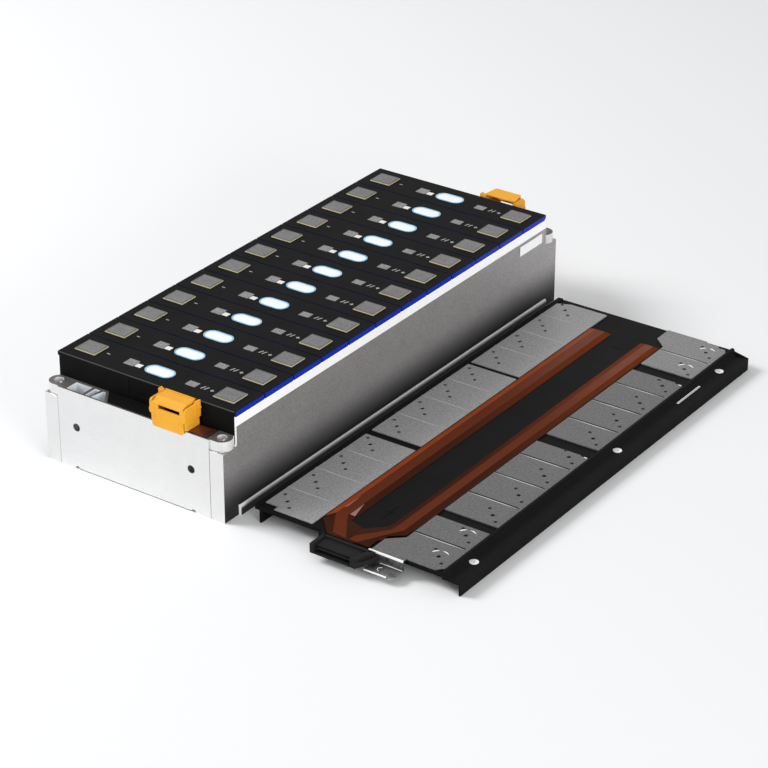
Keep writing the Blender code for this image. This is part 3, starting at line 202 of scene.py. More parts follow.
@dataclass(frozen=True)
class Finish:
    """A surface finish: two colours that run into each other, a fine grain, gloss, relief and, for
    some, painted shade at one end.

    Args:
        name: The finish's name.
        colour: Its main colour as shown on a screen.
        second: The colour that the mottling runs to.
        metallic: 1 for bare metal and 0 for anything else.
        gloss: The lowest and the highest roughness.
        specular: How strongly a surface that isn't metal mirrors.
        grain: The direction of the fine grain.
        grain_scale: The grain's fineness, per metre.
        grain_share: The grain's share in the mottling, the rest being broad patches.
        patch_scale: The broad patches' fineness, per metre.
        relief: The height of the grain in metres.
        coat: The strength of a clear coat.
        painted_shade: The colour of the painted shade that darkens one end of the piece.
        painted_shade_reach: Where the painted shade is full and where it ends, or zeros for none.
        painted_shade_axis: The axis that the painted shade fades along.
    """

    name: str
    colour: Colour
    second: Colour
    metallic: float = 0.0
    gloss: tuple[float, float] = (0.4, 0.55)
    specular: float = 0.5
    grain: Grain = Grain.EVEN
    grain_scale: float = 900.0
    grain_share: float = 0.5
    patch_scale: float = 40.0
    relief: float = 0.00002
    coat: float = 0.0
    painted_shade: Colour = (0.0, 0.0, 0.0)
    painted_shade_reach: Point = (0.0, 0.0)
    painted_shade_axis: str = "Z"

    def material(self) -> bpy.types.Material:
        """Finds or makes the finish's material.

        Returns:
            A node material.
        """
        found = bpy.data.materials.get(self.name)
        if found:
            return found
        material = bpy.data.materials.new(self.name)
        material.use_nodes = True
        material.diffuse_color = linear(self.colour)
        tree = material.node_tree
        shader = tree.nodes["Principled BSDF"]
        shader.inputs["Metallic"].default_value = self.metallic
        shader.inputs["Specular IOR Level"].default_value = self.specular
        shader.inputs["Coat Weight"].default_value = self.coat
        shader.inputs["Coat Roughness"].default_value = self.gloss[0] / 2
        fine, broad = self.noises(tree)
        colour = self.mottled(tree, fine, broad)
        # Painted shade: a darker colour run in along one axis
        if any(self.painted_shade_reach):
            colour = self.with_painted_shade(tree, colour)
        tree.links.new(colour, shader.inputs["Base Color"])
        rough = mapped(tree, fine, GLOSS_SPAN, self.gloss)
        tree.links.new(rough.outputs["Result"], shader.inputs["Roughness"])
        bump = tree.nodes.new("ShaderNodeBump")
        bump.inputs["Strength"].default_value = BUMP_STRENGTH
        bump.inputs["Distance"].default_value = self.relief
        tree.links.new(fine, bump.inputs["Height"])
        tree.links.new(bump.outputs["Normal"], shader.inputs["Normal"])
        return material

    def noises(self, tree: Tree) -> list[Socket]:
        """Adds the fine and the broad noise.

        Args:
            tree: The material's nodes.

        Returns:
            The fine noise's socket and the broad noise's.
        """
        place = tree.nodes.new("ShaderNodeTexCoord")
        drawn = tree.nodes.new("ShaderNodeMapping")
        drawn.inputs["Scale"].default_value = self.grain.value
        tree.links.new(place.outputs["Object"], drawn.inputs["Vector"])
        sockets = []
        for scale, source in ((self.grain_scale, drawn), (self.patch_scale, None)):
            noise = tree.nodes.new("ShaderNodeTexNoise")
            noise.inputs["Scale"].default_value = scale
            noise.inputs["Detail"].default_value = NOISE_DETAIL
            noise.inputs["Roughness"].default_value = NOISE_ROUGHNESS
            vector = source.outputs["Vector"] if source else place.outputs["Object"]
            tree.links.new(vector, noise.inputs["Vector"])
            sockets.append(noise.outputs["Fac"])
        return sockets

    def mottled(self, tree: Tree, fine: Socket, broad: Socket) -> Socket:
        """Mixes the finish's two colours by the two noises.

        Args:
            tree: The material's nodes.
            fine: The fine noise.
            broad: The broad noise.

        Returns:
            The colour's socket.
        """
        blend = tree.nodes.new("ShaderNodeMix")
        blend.inputs["Factor"].default_value = self.grain_share
        tree.links.new(broad, blend.inputs["A"])
        tree.links.new(fine, blend.inputs["B"])
        spread = mapped(tree, blend.outputs["Result"], MOTTLE_SPAN)
        mix = colour_mix(tree, spread.outputs["Result"], self.colour)
        mix.inputs["B"].default_value = linear(self.second)
        return mix.outputs["Result"]

    def with_painted_shade(self, tree: Tree, clean: Socket) -> Socket:
        """Lets the painted shade run into the colour along its axis.

        Args:
            tree: The material's nodes.
            clean: The clean colour.

        Returns:
            The colour's socket.
        """
        place = tree.nodes.new("ShaderNodeTexCoord")
        split = tree.nodes.new("ShaderNodeSeparateXYZ")
        tree.links.new(place.outputs["Object"], split.inputs["Vector"])
        share = mapped(tree, split.outputs[self.painted_shade_axis], self.painted_shade_reach)
        share.interpolation_type = "SMOOTHSTEP"
        mix = colour_mix(tree, share.outputs["Result"], self.painted_shade)
        tree.links.new(clean, mix.inputs["B"])
        return mix.outputs["Result"]


def grey(level: float) -> Colour:
    """A grey as shown on a screen."""
    return (level, level, level)


def plate_finish(name: str, dark: float, pale: float) -> Finish:
    """The rolled metal of a busbar plate, mottled between two greys.

    Args:
        name: The finish's name.
        dark: The darker grey.
        pale: The paler grey.

    Returns:
        The finish.
    """
    return Finish(
        name,
        grey(dark),
        grey(pale),
        metallic=0.35,
        gloss=(0.36, 0.48),
        specular=0.3,
        grain_scale=480.0,
        grain_share=1.0,
        relief=0.000006,
    )


BLACK_SHEET = Finish("black_sheet", grey(0.07), grey(0.1), gloss=(0.5, 0.65), specular=0.03)
BLACK_MOULDED = Finish(
    "black_moulded", grey(0.06), grey(0.085), gloss=(0.45, 0.6), specular=0.035, relief=0.00004
)
# Painted shade: the dark bars that stand for the carrier's engraved signs
SIGN_SHADE = Finish("sign_shade", grey(0.02), grey(0.03), gloss=(0.6, 0.7), specular=0.02)
SLEEVE_BLUE = Finish(
    "sleeve_blue", (0.07, 0.18, 0.64), (0.09, 0.21, 0.7), gloss=(0.2, 0.3), specular=0.08
)
SLEEVE_NAVY = Finish(
    "sleeve_navy", (0.03, 0.05, 0.24), (0.04, 0.07, 0.3), gloss=(0.25, 0.35), specular=0.1
)
# Painted highlight along the end insulators' upper edges
EDGE_HIGHLIGHT = Finish("edge_highlight", grey(0.27), grey(0.33), gloss=(0.5, 0.6), specular=0.05)
TERMINAL_METAL = Finish(
    "terminal_metal",
    grey(0.33),
    grey(0.56),
    metallic=0.5,
    gloss=(0.45, 0.65),
    grain_scale=950.0,
    grain_share=0.8,
)
PAD_EDGE = Finish("pad_edge", grey(0.28), grey(0.36), metallic=0.4, gloss=(0.4, 0.5))
GASKET_CREAM = Finish("gasket_cream", (0.78, 0.74, 0.58), (0.85, 0.81, 0.66), gloss=(0.5, 0.6))
VENT_FILM = Finish("vent_film", grey(0.98), (0.94, 0.97, 0.99), gloss=(0.25, 0.4))
VENT_RIM = Finish("vent_rim", (0.36, 0.64, 0.84), (0.6, 0.82, 0.94), gloss=(0.15, 0.25), coat=0.4)
WINDOW_PRINT = Finish(
    "window_print", grey(0.2), grey(0.66), gloss=(0.4, 0.6), grain_scale=1300.0, grain_share=0.95
)
WHITE_PRINT = Finish("white_print", grey(0.93), grey(0.86), gloss=(0.4, 0.5))
FAINT_PRINT = Finish("faint_print", grey(0.66), grey(0.76), gloss=(0.4, 0.5), specular=0.1)
END_METAL = Finish(
    "end_metal", grey(0.88), grey(0.9), metallic=1.0, gloss=(0.2, 0.3), grain_scale=1500.0
)
# Painted reflection: the end plates' and bushes' tops are painted dark for the dark parts that they
# mirror
TOP_PAINTED_DARK = Finish(
    "top_painted_dark",
    (0.33, 0.32, 0.31),
    (0.42, 0.41, 0.4),
    metallic=0.3,
    gloss=(0.4, 0.5),
    grain_share=0.8,
)
# Painted light: the end plates' chamber walls are painted pale for the light that they mirror
CHAMBER_PAINTED_PALE = Finish(
    "chamber_painted_pale", (0.88, 0.9, 0.92), (0.94, 0.95, 0.96), metallic=0.1, gloss=(0.4, 0.5)
)
# Painted light: a bush's bore is painted pale for the light seen on its inner wall
BORE_PAINTED_PALE = Finish("bore_painted_pale", grey(0.9), grey(0.97), metallic=0.2, gloss=(0.3, 0.45))
# Painted shade: the side panel darkens towards its foot, for the shade there and the dark tray that
# it mirrors
SIDE_METAL = Finish(
    "side_metal",
    (0.6, 0.59, 0.59),
    (0.71, 0.7, 0.7),
    metallic=0.9,
    gloss=(0.5, 0.62),
    grain_scale=650.0,
    grain_share=0.85,
    painted_shade=grey(0.2),
    painted_shade_reach=(0.008, 0.056),
)
# Painted highlight: near white for faces that catch the light, on the side plates' bands and upright
# ends and on the busbar plates' arcs and bars
PAINTED_HIGHLIGHT = Finish("painted_highlight", grey(0.985), grey(1.0), gloss=(0.3, 0.4))
# Painted light: the outer sides of the end plates' corner bosses are painted pale, as lit
EAR_PAINTED_PALE = Finish("ear_painted_pale", grey(0.84), grey(0.88), metallic=0.1, gloss=(0.3, 0.4))
# Painted highlight and shade: the foot's top is painted paler than the panel, and its outer face
# darkens towards the floor
FOOT_HIGHLIGHT_AND_SHADE = Finish(
    "foot_highlight_and_shade",
    grey(0.9),
    grey(0.97),
    metallic=0.1,
    gloss=(0.3, 0.4),
    grain=Grain.ALONG_Y,
    painted_shade=grey(0.05),
    painted_shade_reach=(0.0066, 0.0112),
)
BUSH_STEEL = Finish(
    "bush_steel_turned", grey(0.78), grey(0.9), metallic=1.0, gloss=(0.15, 0.3), grain=Grain.ROUND_Z
)
COPPER = Finish(
    "copper_dulled",
    (0.56, 0.31, 0.2),
    (0.44, 0.25, 0.18),
    metallic=0.3,
    gloss=(0.25, 0.4),
    grain_share=0.85,
)
COPPER_SHADE = Finish(
    "copper_shade", (0.34, 0.22, 0.16), (0.26, 0.19, 0.15), metallic=0.2, gloss=(0.3, 0.4)
)
ORANGE_MOULDED = Finish(
    "orange_moulded",
    (0.93, 0.68, 0.2),
    (0.91, 0.63, 0.17),
    gloss=(0.4, 0.5),
    specular=0.18,
    grain_scale=600.0,
    relief=0.00003,
)
# Lit and shaded copies of one plate metal: the left plates are painted paler and the right ones
# darker for the light that falls on each side
PLATE_LIT = plate_finish("plate_lit", 0.56, 0.68)
PLATE_HALF_LIT = plate_finish("plate_half_lit", 0.44, 0.56)
PLATE_IN_SHADE = plate_finish("plate_in_shade", 0.34, 0.45)
PLATE_SHADE = Finish("plate_shade", grey(0.11), grey(0.15), gloss=(0.5, 0.6), specular=0.1)
# Painted highlight on the beads along the busbar plates' cell boundaries
BEAD_HIGHLIGHT = Finish("bead_highlight", grey(0.7), grey(0.8), gloss=(0.3, 0.4), specular=0.3)
TAB_METAL = Finish(
    "tab_metal",
    grey(0.15),
    grey(0.5),
    metallic=0.4,
    gloss=(0.2, 0.3),
    grain_scale=300.0,
    grain_share=0.1,
    patch_scale=70.0,
    relief=0.000002,
)
# Painted shade: the strips' tops darken towards the near end
FILM_TOP_SHADED = Finish(
    "film_top_shaded",
    (0.44, 0.25, 0.19),
    (0.49, 0.29, 0.23),
    gloss=(0.35, 0.45),
    specular=0.02,
    painted_shade=(0.37, 0.165, 0.085),
    painted_shade_reach=(0.0, 0.25),
    painted_shade_axis="Y",
)
FILM_DARK = Finish(
    "film_dark", (0.23, 0.1, 0.03), (0.17, 0.07, 0.02), gloss=(0.3, 0.45), specular=0.03
)
# Painted shade: the strips' slopes darken towards the near end
FILM_SLOPE_SHADED = Finish(
    "film_slope_shaded",
    (0.42, 0.18, 0.05),
    (0.37, 0.15, 0.04),
    gloss=(0.4, 0.5),
    specular=0.02,
    painted_shade=(0.22, 0.095, 0.035),
    painted_shade_reach=(-0.12, 0.22),
    painted_shade_axis="Y",
)
FILM_AMBER = Finish(
    "film_amber", (0.62, 0.26, 0.07), (0.54, 0.21, 0.05), gloss=(0.3, 0.4), specular=0.05
)
FILM_SHEEN = Finish(
    "film_sheen", (0.62, 0.47, 0.43), (0.55, 0.4, 0.36), gloss=(0.3, 0.4), specular=0.1
)
FOAM_GREY = Finish("foam_grey", grey(0.34), grey(0.42), gloss=(0.85, 0.95), relief=0.0001)
PLUG_BLACK = Finish(
    "plug_black", grey(0.12), grey(0.15), gloss=(0.45, 0.6), specular=0.05, relief=0.00003
)
# The label's own white, also painted on the ledge's eyelets and slot lining to stand in for the lit
# floor seen through the holes
WHITE_LABEL_AND_PAINTED_LIGHT = Finish("white_label_and_painted_light", grey(0.99), grey(0.97), gloss=(0.35, 0.45))


def middle_of(low_node: str, high_node: str) -> Vector:
    """The point on the floor in the middle of the box round two nodes.

    Args:
        low_node: The node with the lower corner.
        high_node: The node with the higher corner.

    Returns:
        The middle, at height 0.
    """
    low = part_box(low_node)[0]
    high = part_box(high_node)[1]
    return Vector(((low.x + high.x) / 2, (low.y + high.y) / 2, 0))


MODULE = middle_of("cell_01", "cell_12")
TRAY = Vector((MODULE.x + 0.2403, MODULE.y - 0.0010, 0))


def loft(loops: Sequence[Sequence[Vector]], ring: bool = False) -> Solid:
    """A solid drawn through loops of points, one after the other.

    Args:
        loops: Loops with the same number of points.
        ring: Whether the last loop joins the first, with no caps.

    Returns:
        The closed solid, its faces outwards.
    """
    solid = bmesh.new()
    rows = [[solid.verts.new(point) for point in loop] for loop in loops]
    pairs = list(zip(rows, rows[1:]))
    if ring:
        pairs.append((rows[-1], rows[0]))
    else:
        solid.faces.new(list(reversed(rows[0])))
        solid.faces.new(rows[-1])
    count = len(rows[0])
    for lower, upper in pairs:
        for i in range(count):
            j = (i + 1) % count
            solid.faces.new([lower[i], lower[j], upper[j], upper[i]])
    bmesh.ops.recalc_face_normals(solid, faces=solid.faces)
    return solid


def prism(outline: Sequence[Point], low: float, high: float, plane: Plane = Plane.XY) -> Solid:
    """A straight solid over an outline.

    Args:
        outline: Points in the plane.
        low: Where it starts along the plane's axis.
        high: Where it ends.
        plane: The plane of the outline.

    Returns:
        The solid.
    """
    return loft([[plane.point(flat, height) for flat in outline] for height in (low, high)])


def block(low: Sequence[float], high: Sequence[float]) -> Solid:
    """A box between two corners, given in any order.

    Args:
        low: A corner.
        high: The opposite corner.

    Returns:
        The box.
    """
    x0, x1 = sorted((low[0], high[0]))
    y0, y1 = sorted((low[1], high[1]))
    outline = [(x0, y0), (x1, y0), (x1, y1), (x0, y1)]
    return prism(outline, *sorted((low[2], high[2])))


def ringed(outer: Sequence[Point], inner: Sequence[Point], low: float, high: float) -> Solid:
    """A flat ring between two outlines with the same number of points.

    Args:
        outer: The outer outline in X and Y.
        inner: The inner outline.
        low: The underside's height.
        high: The top's height.

    Returns:
        The ring.
    """
    corners = ((outer, low), (outer, high), (inner, high), (inner, low))
    return loft([[Plane.XY.point(p, z) for p in outline] for outline, z in corners], ring=True)


def arc(centre: Point, radius: float, start: float, stop: float, steps: int) -> list[Point]:
    """Points on an arc, its ends included, with angles in degrees."""
    angles = [math.radians(start + (stop - start) * i / steps) for i in range(steps + 1)]
    return [(centre[0] + radius * math.cos(a), centre[1] + radius * math.sin(a)) for a in angles]


def circle(centre: Point, radius: float, steps: int) -> list[Point]:
    """Points round a circle."""
    return arc(centre, radius, 0, 360, steps)[:-1]


def stadium(centre: Point, length: float, width: float, steps: int = 12) -> list[Point]:
    """A long hole's outline, with its length along X.

    Args:
        centre: The hole's middle.
        length: Its whole length.
        width: Its width.
        steps: Steps in each rounded end.

    Returns:
        The outline.
    """
    reach = (length - width) / 2
    x, y = centre
    right = arc((x + reach, y), width / 2, -90, 90, steps)
    return right + arc((x - reach, y), width / 2, 90, 270, steps)


def smaller(size: Point, amount: float) -> Point:
    """A rectangle's size, less the same amount both ways."""
    return (size[0] - amount, size[1] - amount)


def rectangle(centre: Point, size: Point) -> list[Point]:
    """A rectangle's corners.

    Args:
        centre: Its middle.
        size: Its sizes in X and Y.

    Returns:
        The four corners.
    """
    x, y = centre
    a, b = size[0] / 2, size[1] / 2
    return [(x - a, y - b), (x + a, y - b), (x + a, y + b), (x - a, y + b)]


def bevel(
    solid: Solid,
    edges: Sequence[bmesh.types.BMEdge],
    width: float,
    steps: int = EDGE_STEPS,
    profile: float = EDGE_PROFILE,
) -> None:
    """Rounds some edges of a solid.

    Args:
        solid: The solid, changed in place.
        edges: The edges.
        width: How far the rounding reaches from each edge.
        steps: Steps in the rounding.
        profile: How full it is, where 0.5 is round.
    """
    bmesh.ops.bevel(
        solid,
        geom=edges,
        offset=width,
        segments=steps,
        profile=profile,
        affect="EDGES",
        clamp_overlap=True,
    )


def soften(solid: Solid, width: float) -> None:
    """Rounds the sharp edges of a solid."""
    edges = [e for e in solid.edges if e.is_manifold and e.calc_face_angle() > SHARP_ANGLE]
    bevel(solid, edges, width)


def moved(solid: Solid, place: Vector) -> Solid:
    """Moves a solid."""
    bmesh.ops.translate(solid, vec=place, verts=solid.verts)
    return solid


def turned(solid: Solid, end: End) -> Solid:
    """Turns a solid drawn for the far end over for the near end.

    Args:
        solid: The solid, changed in place.
        end: The end that it goes to.

    Returns:
        The same solid.
    """
    if end is End.NEAR:
        bmesh.ops.scale(solid, vec=(1, -1, 1), verts=solid.verts)
        bmesh.ops.reverse_faces(solid, faces=solid.faces)
    return solid


def packed_solid(node: str) -> Solid:
    """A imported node's solid with its flat faces whole again.

    Args:
        node: The node's name.

    Returns:
        A new solid, in the frame's own place.
    """
    solid = bmesh.new()
    solid.from_mesh(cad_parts[node].data)
    bmesh.ops.remove_doubles(solid, verts=solid.verts, dist=WELD)
    bmesh.ops.dissolve_limit(
        solid, angle_limit=FLAT_ANGLE, verts=solid.verts, edges=solid.edges
    )
    return solid


def show(item: bpy.types.Object) -> None:
    """Puts an object in the scene."""
    bpy.context.scene.collection.objects.link(item)


def as_mesh(solid: Solid, name: str) -> bpy.types.Mesh:
    """Turns a solid into a mesh and frees it.

    Args:
        solid: The solid, freed here.
        name: The mesh's name.

    Returns:
        The mesh.
    """
    mesh = bpy.data.meshes.new(name)
    solid.to_mesh(mesh)
    solid.free()
    return mesh


def carved(solid: Solid, cutters: Iterable[Solid]) -> Solid:
    """Takes the cutters away from a solid.

    Args:
        solid: The solid, freed here.
        cutters: Solids to take away, freed here.

    Returns:
        What is left.
    """
    body = bpy.data.objects.new("carved_body", as_mesh(solid, "carved_body"))
    joined = bmesh.new()
    for cutter in cutters:
        mesh = as_mesh(cutter, "cutter")
        joined.from_mesh(mesh)
        bpy.data.meshes.remove(mesh)
    tool = bpy.data.objects.new("carving_tool", as_mesh(joined, "carving_tool"))
    for item in (body, tool):
        show(item)
    cut = body.modifiers.new("cut", "BOOLEAN")
    cut.operation = "DIFFERENCE"
    cut.solver = "EXACT"
    cut.use_self = True
    cut.object = tool
    bpy.context.view_layer.update()
    graph = bpy.context.evaluated_depsgraph_get()
    left = bpy.data.meshes.new_from_object(body.evaluated_get(graph))
    result = bmesh.new()
    result.from_mesh(left)
    for item in (body, tool):
        bpy.data.objects.remove(item)
    bpy.data.meshes.remove(left)
    return result


@dataclass
class Piece:
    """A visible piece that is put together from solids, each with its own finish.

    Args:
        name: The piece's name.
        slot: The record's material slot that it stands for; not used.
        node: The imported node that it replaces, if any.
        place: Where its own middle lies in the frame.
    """

    name: str
    slot: str
    node: str = ""
    place: Vector = field(default_factory=Vector)
    finishes: list[Finish] = field(default_factory=list)
    shape: Solid = field(default_factory=bmesh.new)

    def add(self, solid: Solid, finish: Finish, edge: float = 0.0) -> None:
        """Adds a solid.

        Args:
            solid: The solid, freed here.
            finish: Its finish.
            edge: How far its sharp edges are rounded, in metres.
        """
        if edge:
            soften(solid, edge)
        number = self.number_of(finish)
        solid.normal_update()
        for face in solid.faces:
            face.material_index = number
            face.smooth = abs(face.normal.z) < LEVEL and face.calc_area() < FLAT_AREA
        mesh = as_mesh(solid, "solid")
        self.shape.from_mesh(mesh)
        bpy.data.meshes.remove(mesh)

    def number_of(self, finish: Finish) -> int:
        """A finish's number on the piece, which gets it if it is new.

        Args:
            finish: The finish.

        Returns:
            The number, from 0.
        """
        if finish not in self.finishes:
            self.finishes.append(finish)
        return self.finishes.index(finish)

    def repaint(self, finish: Finish, test: FaceTest) -> None:
        """Gives another finish to some of the faces.

        Args:
            finish: The other finish.
            test: Takes a face's centre and its normal, and says whether it gets the finish.
        """
        number = self.number_of(finish)
        self.shape.normal_update()
        for face in self.shape.faces:
            if test(face.calc_center_median(), face.normal):
                face.material_index = number

    def finish(self) -> bpy.types.Object:
        """Makes the object, sets it in its place and ties it to the frame.

        Returns:
            The object.
        """
        mesh = as_mesh(moved(self.shape, self.place), self.name)
        for finish in self.finishes:
            mesh.materials.append(finish.material())
        smooth = [polygon.use_smooth for polygon in mesh.polygons]
        mesh.set_sharp_from_angle(angle=SHARP_ANGLE)
        mesh.polygons.foreach_set("use_smooth", smooth)
        piece = bpy.data.objects.new(self.name, mesh)
        show(piece)
        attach(piece, BODY)
        if self.node:
            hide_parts(self.node)
        LOG.info("%s: %d faces", self.name, len(mesh.polygons))
        return piece


def softened_copy(node: str, name: str, slot: str, finish: Finish, edge: float) -> None:
    """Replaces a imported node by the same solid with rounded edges.

    Args:
        node: The node's name.
        name: The new piece's name.
        slot: The record's material slot.
        finish: The finish.
        edge: How far the edges are rounded.
    """
    piece = Piece(name, slot, node)
    piece.add(packed_solid(node), finish, edge)
    piece.finish()


@dataclass
class Cell:
    """A prismatic cell: a sleeved can under a black sheet, with its pads, vent and print.

    Args:
        number: The cell's number from the near end.
        lid_inset: How far the sleeve's rim lies in from the sheet's edge.
        frame_inset: How far the line round a pad's face lies in from its edge.
        weld_radii: The outer and the inner radius of the faint ring on a pad.
        film_steps: The vent film's dome, as how far in and how high.
        windows: The printed windows, each with its centre, its size and its finish.
        stroke: A slanting stroke's outline, from its start.
        sign_bars: The bars of the plus and minus signs, each with its centre, size and rise.
    """

    number: int
    half_width: float = 0.1083
    half_length: float = 0.02215
    can_low: float = 0.0018
    lid_low: float = 0.1052
    lid_inset: float = 0.00015
    sleeve_split: float = 0.1056
    sheet_low: float = 0.1107
    top: float = 0.1112
    lid_half_width: float = 0.1100
    pad_x: float = 0.0862
    pad_size: Point = (0.0252, 0.0222)
    pad_inset: float = 0.0009
    gasket_top: float = 0.1122
    pad_top: float = 0.1128
    frame_inset: float = 0.0016
    frame_width: float = 0.0008
    frame_rise: float = 0.00004
    weld_radii: Point = (0.0033, 0.0028)
    weld_rise: float = 0.00008
    vent_centre: Point = (0.0003, 0.0)
    vent_size: Point = (0.0340, 0.0180)
    vent_rim: float = 0.0016
    vent_rim_rise: float = 0.0005
    film_steps: tuple[Point, ...] = (
        (0.0, 0.0),
        (0.0, 0.00012),
        (0.0012, 0.0003),
        (0.003, 0.0004),
    )
    print_height: float = 0.00012
    windows: tuple[tuple[Point, Point, Finish], ...] = (
        ((-0.0348, -0.0007), (0.0125, 0.0119), WINDOW_PRINT),
        ((-0.0243, -0.0022), (0.0070, 0.0065), WHITE_PRINT),
        ((0.0415, -0.0017), (0.0122, 0.0093), WINDOW_PRINT),
    )
    stroke: tuple[Point, ...] = (
        (0.0, -0.0044),
        (0.0011, -0.0044),
        (0.0033, 0.0014),
        (0.0022, 0.0014),
    )
    stroke_starts: Point = (0.0528, 0.0570)
    sign_bars: tuple[tuple[Point, Point, float], ...] = (
        ((0.0657, -0.0020), (0.0042, 0.0010), 0.0),
        ((0.0657, -0.0020), (0.0010, 0.0040), 0.00002),
        ((-0.0647, 0.0), (0.0038, 0.0010), 0.0),
    )

    def build(self) -> None:
        """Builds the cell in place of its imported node."""
        name = f"cell_{self.number:02d}"
        offset = (self.number - (CELL_COUNT + 1) / 2) * CELL_PITCH
        piece = Piece(f"{name}_dressed", "cell_black", name, MODULE + Vector((0, offset, 0)))
        self.add_can(piece)
        for side in Side:
            self.add_pad(piece, side)
        self.add_vent(piece)
        self.add_print(piece)
        piece.finish()

    def add_can(self, piece: Piece) -> None:
        """Adds the sleeved can, the sleeve's folded rim and the black sheet on top.

        Args:
            piece: The cell's piece.
        """
        a, b = self.half_width, self.half_length
        piece.add(block((-a, -b, self.can_low), (a, b, self.lid_low)), SLEEVE_BLUE, 0.0012)
        rim, sheet = self.lid_half_width - self.lid_inset, self.lid_half_width
        layers = (
            (rim, self.lid_low, self.sleeve_split, SLEEVE_NAVY, 0.0003),
            (rim, self.sleeve_split, self.sheet_low, SLEEVE_BLUE, 0.0003),
            (sheet, self.sheet_low, self.top, BLACK_SHEET, 0.0002),
        )
        for half, low, high, finish, edge in layers:
            piece.add(block((-half, -b, low), (half, b, high)), finish, edge)
        piece.repaint(SLEEVE_NAVY, self.is_end)

    def is_end(self, centre: Vector, normal: Vector) -> bool:
        """Whether a face of the rim looks to the next cell."""
        return abs(normal.y) > 0.6 and self.lid_low < centre.z < self.sheet_low

    def add_pad(self, piece: Piece, side: Side) -> None:
        """Adds a terminal pad on its cream gasket, with a faint ring where a weld would go.

        Args:
            piece: The cell's piece.
            side: The pad's side.
        """
        centre = (side.value * self.pad_x, 0.0)
        gasket = prism(rectangle(centre, self.pad_size), self.top, self.gasket_top)
        piece.add(gasket, GASKET_CREAM, 0.0003)
        face = smaller(self.pad_size, self.pad_inset)
        metal = prism(rectangle(centre, face), self.gasket_top, self.pad_top)
        piece.add(metal, TERMINAL_METAL, 0.0002)
        outer = smaller(face, self.frame_inset)
        outlines = [rectangle(centre, size) for size in (outer, smaller(outer, self.frame_width))]
        piece.add(ringed(*outlines, self.pad_top, self.pad_top + self.frame_rise), PAD_EDGE)
        outlines = [circle(centre, radius, 24) for radius in self.weld_radii]
        ring = ringed(*outlines, self.pad_top, self.pad_top + self.weld_rise)
        piece.add(ring, TERMINAL_METAL)

    def add_vent(self, piece: Piece) -> None:
        """Adds the vent: a pale blue rim round a slightly domed white film.

        Args:
            piece: The cell's piece.
        """
        outer = self.vent_outline(0.0)
        inner = self.vent_outline(self.vent_rim)
        piece.add(ringed(outer, inner, self.top, self.top + self.vent_rim_rise), VENT_RIM, 0.00015)
        loops = []
        for inset, rise in self.film_steps:
            outline = self.vent_outline(self.vent_rim + inset)
            loops.append([Plane.XY.point(p, self.top + rise) for p in outline])
        piece.add(loft(loops), VENT_FILM)

    def vent_outline(self, inset: float) -> list[Point]:
        """The vent's outline, set in from its edge."""
        return stadium(self.vent_centre, *smaller(self.vent_size, 2 * inset))

    def add_print(self, piece: Piece) -> None:
        """Adds the printed windows, the two slanting strokes and the plain plus and minus signs.

        Args:
            piece: The cell's piece.
        """
        low, high = self.top, self.top + self.print_height
        for centre, size, finish in self.windows:
            piece.add(prism(rectangle(centre, size), low, high), finish)
        for start in self.stroke_starts:
            outline = [(start + x, y) for x, y in self.stroke]
            piece.add(prism(outline, low, high), FAINT_PRINT)
        for centre, size, rise in self.sign_bars:
            piece.add(prism(rectangle(centre, size), low, high + rise), FAINT_PRINT)


@dataclass
class CellStack:
    """The twelve cells, the foam between them and the insulators at the ends."""

    count: int = CELL_COUNT
    edge_width: float = 0.0008
    edge_rise: float = 0.0001

    def build(self) -> None:
        """Builds the stack."""
        for number in range(1, self.count + 1):
            Cell(number).build()
        for number in range(1, self.count):
            carry_over(f"foam_{number:02d}", FOAM_GREY)
        for end in End:
            self.build_insulator(end)

    def build_insulator(self, end: End) -> None:
        """Builds an end insulator with a painted highlight along its upper edge.

        Args:
            end: The end of the module.
        """
        node = f"end_insulator_{end.word}"
        piece = Piece(f"{node}_dressed", "black_plastic", node)
        piece.add(packed_solid(node), BLACK_MOULDED, 0.0003)
        low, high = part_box(node)
        outer, inward = (low.y, 1) if end is End.NEAR else (high.y, -1)
        width, rise = self.edge_width, self.edge_rise
        edge_low = (low.x + width, outer - inward * rise, high.z - width)
        edge_high = (high.x - width, outer + inward * width, high.z + rise)
        piece.add(block(edge_low, edge_high), EDGE_HIGHLIGHT, 0.0003)
        piece.finish()


def carry_over(node: str, finish: Finish) -> None:
    """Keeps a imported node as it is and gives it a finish.

    Args:
        node: The node's name.
        finish: The finish.
    """
    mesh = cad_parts[node].data
    mesh.materials.clear()
    mesh.materials.append(finish.material())
    LOG.info("%s: kept", node)


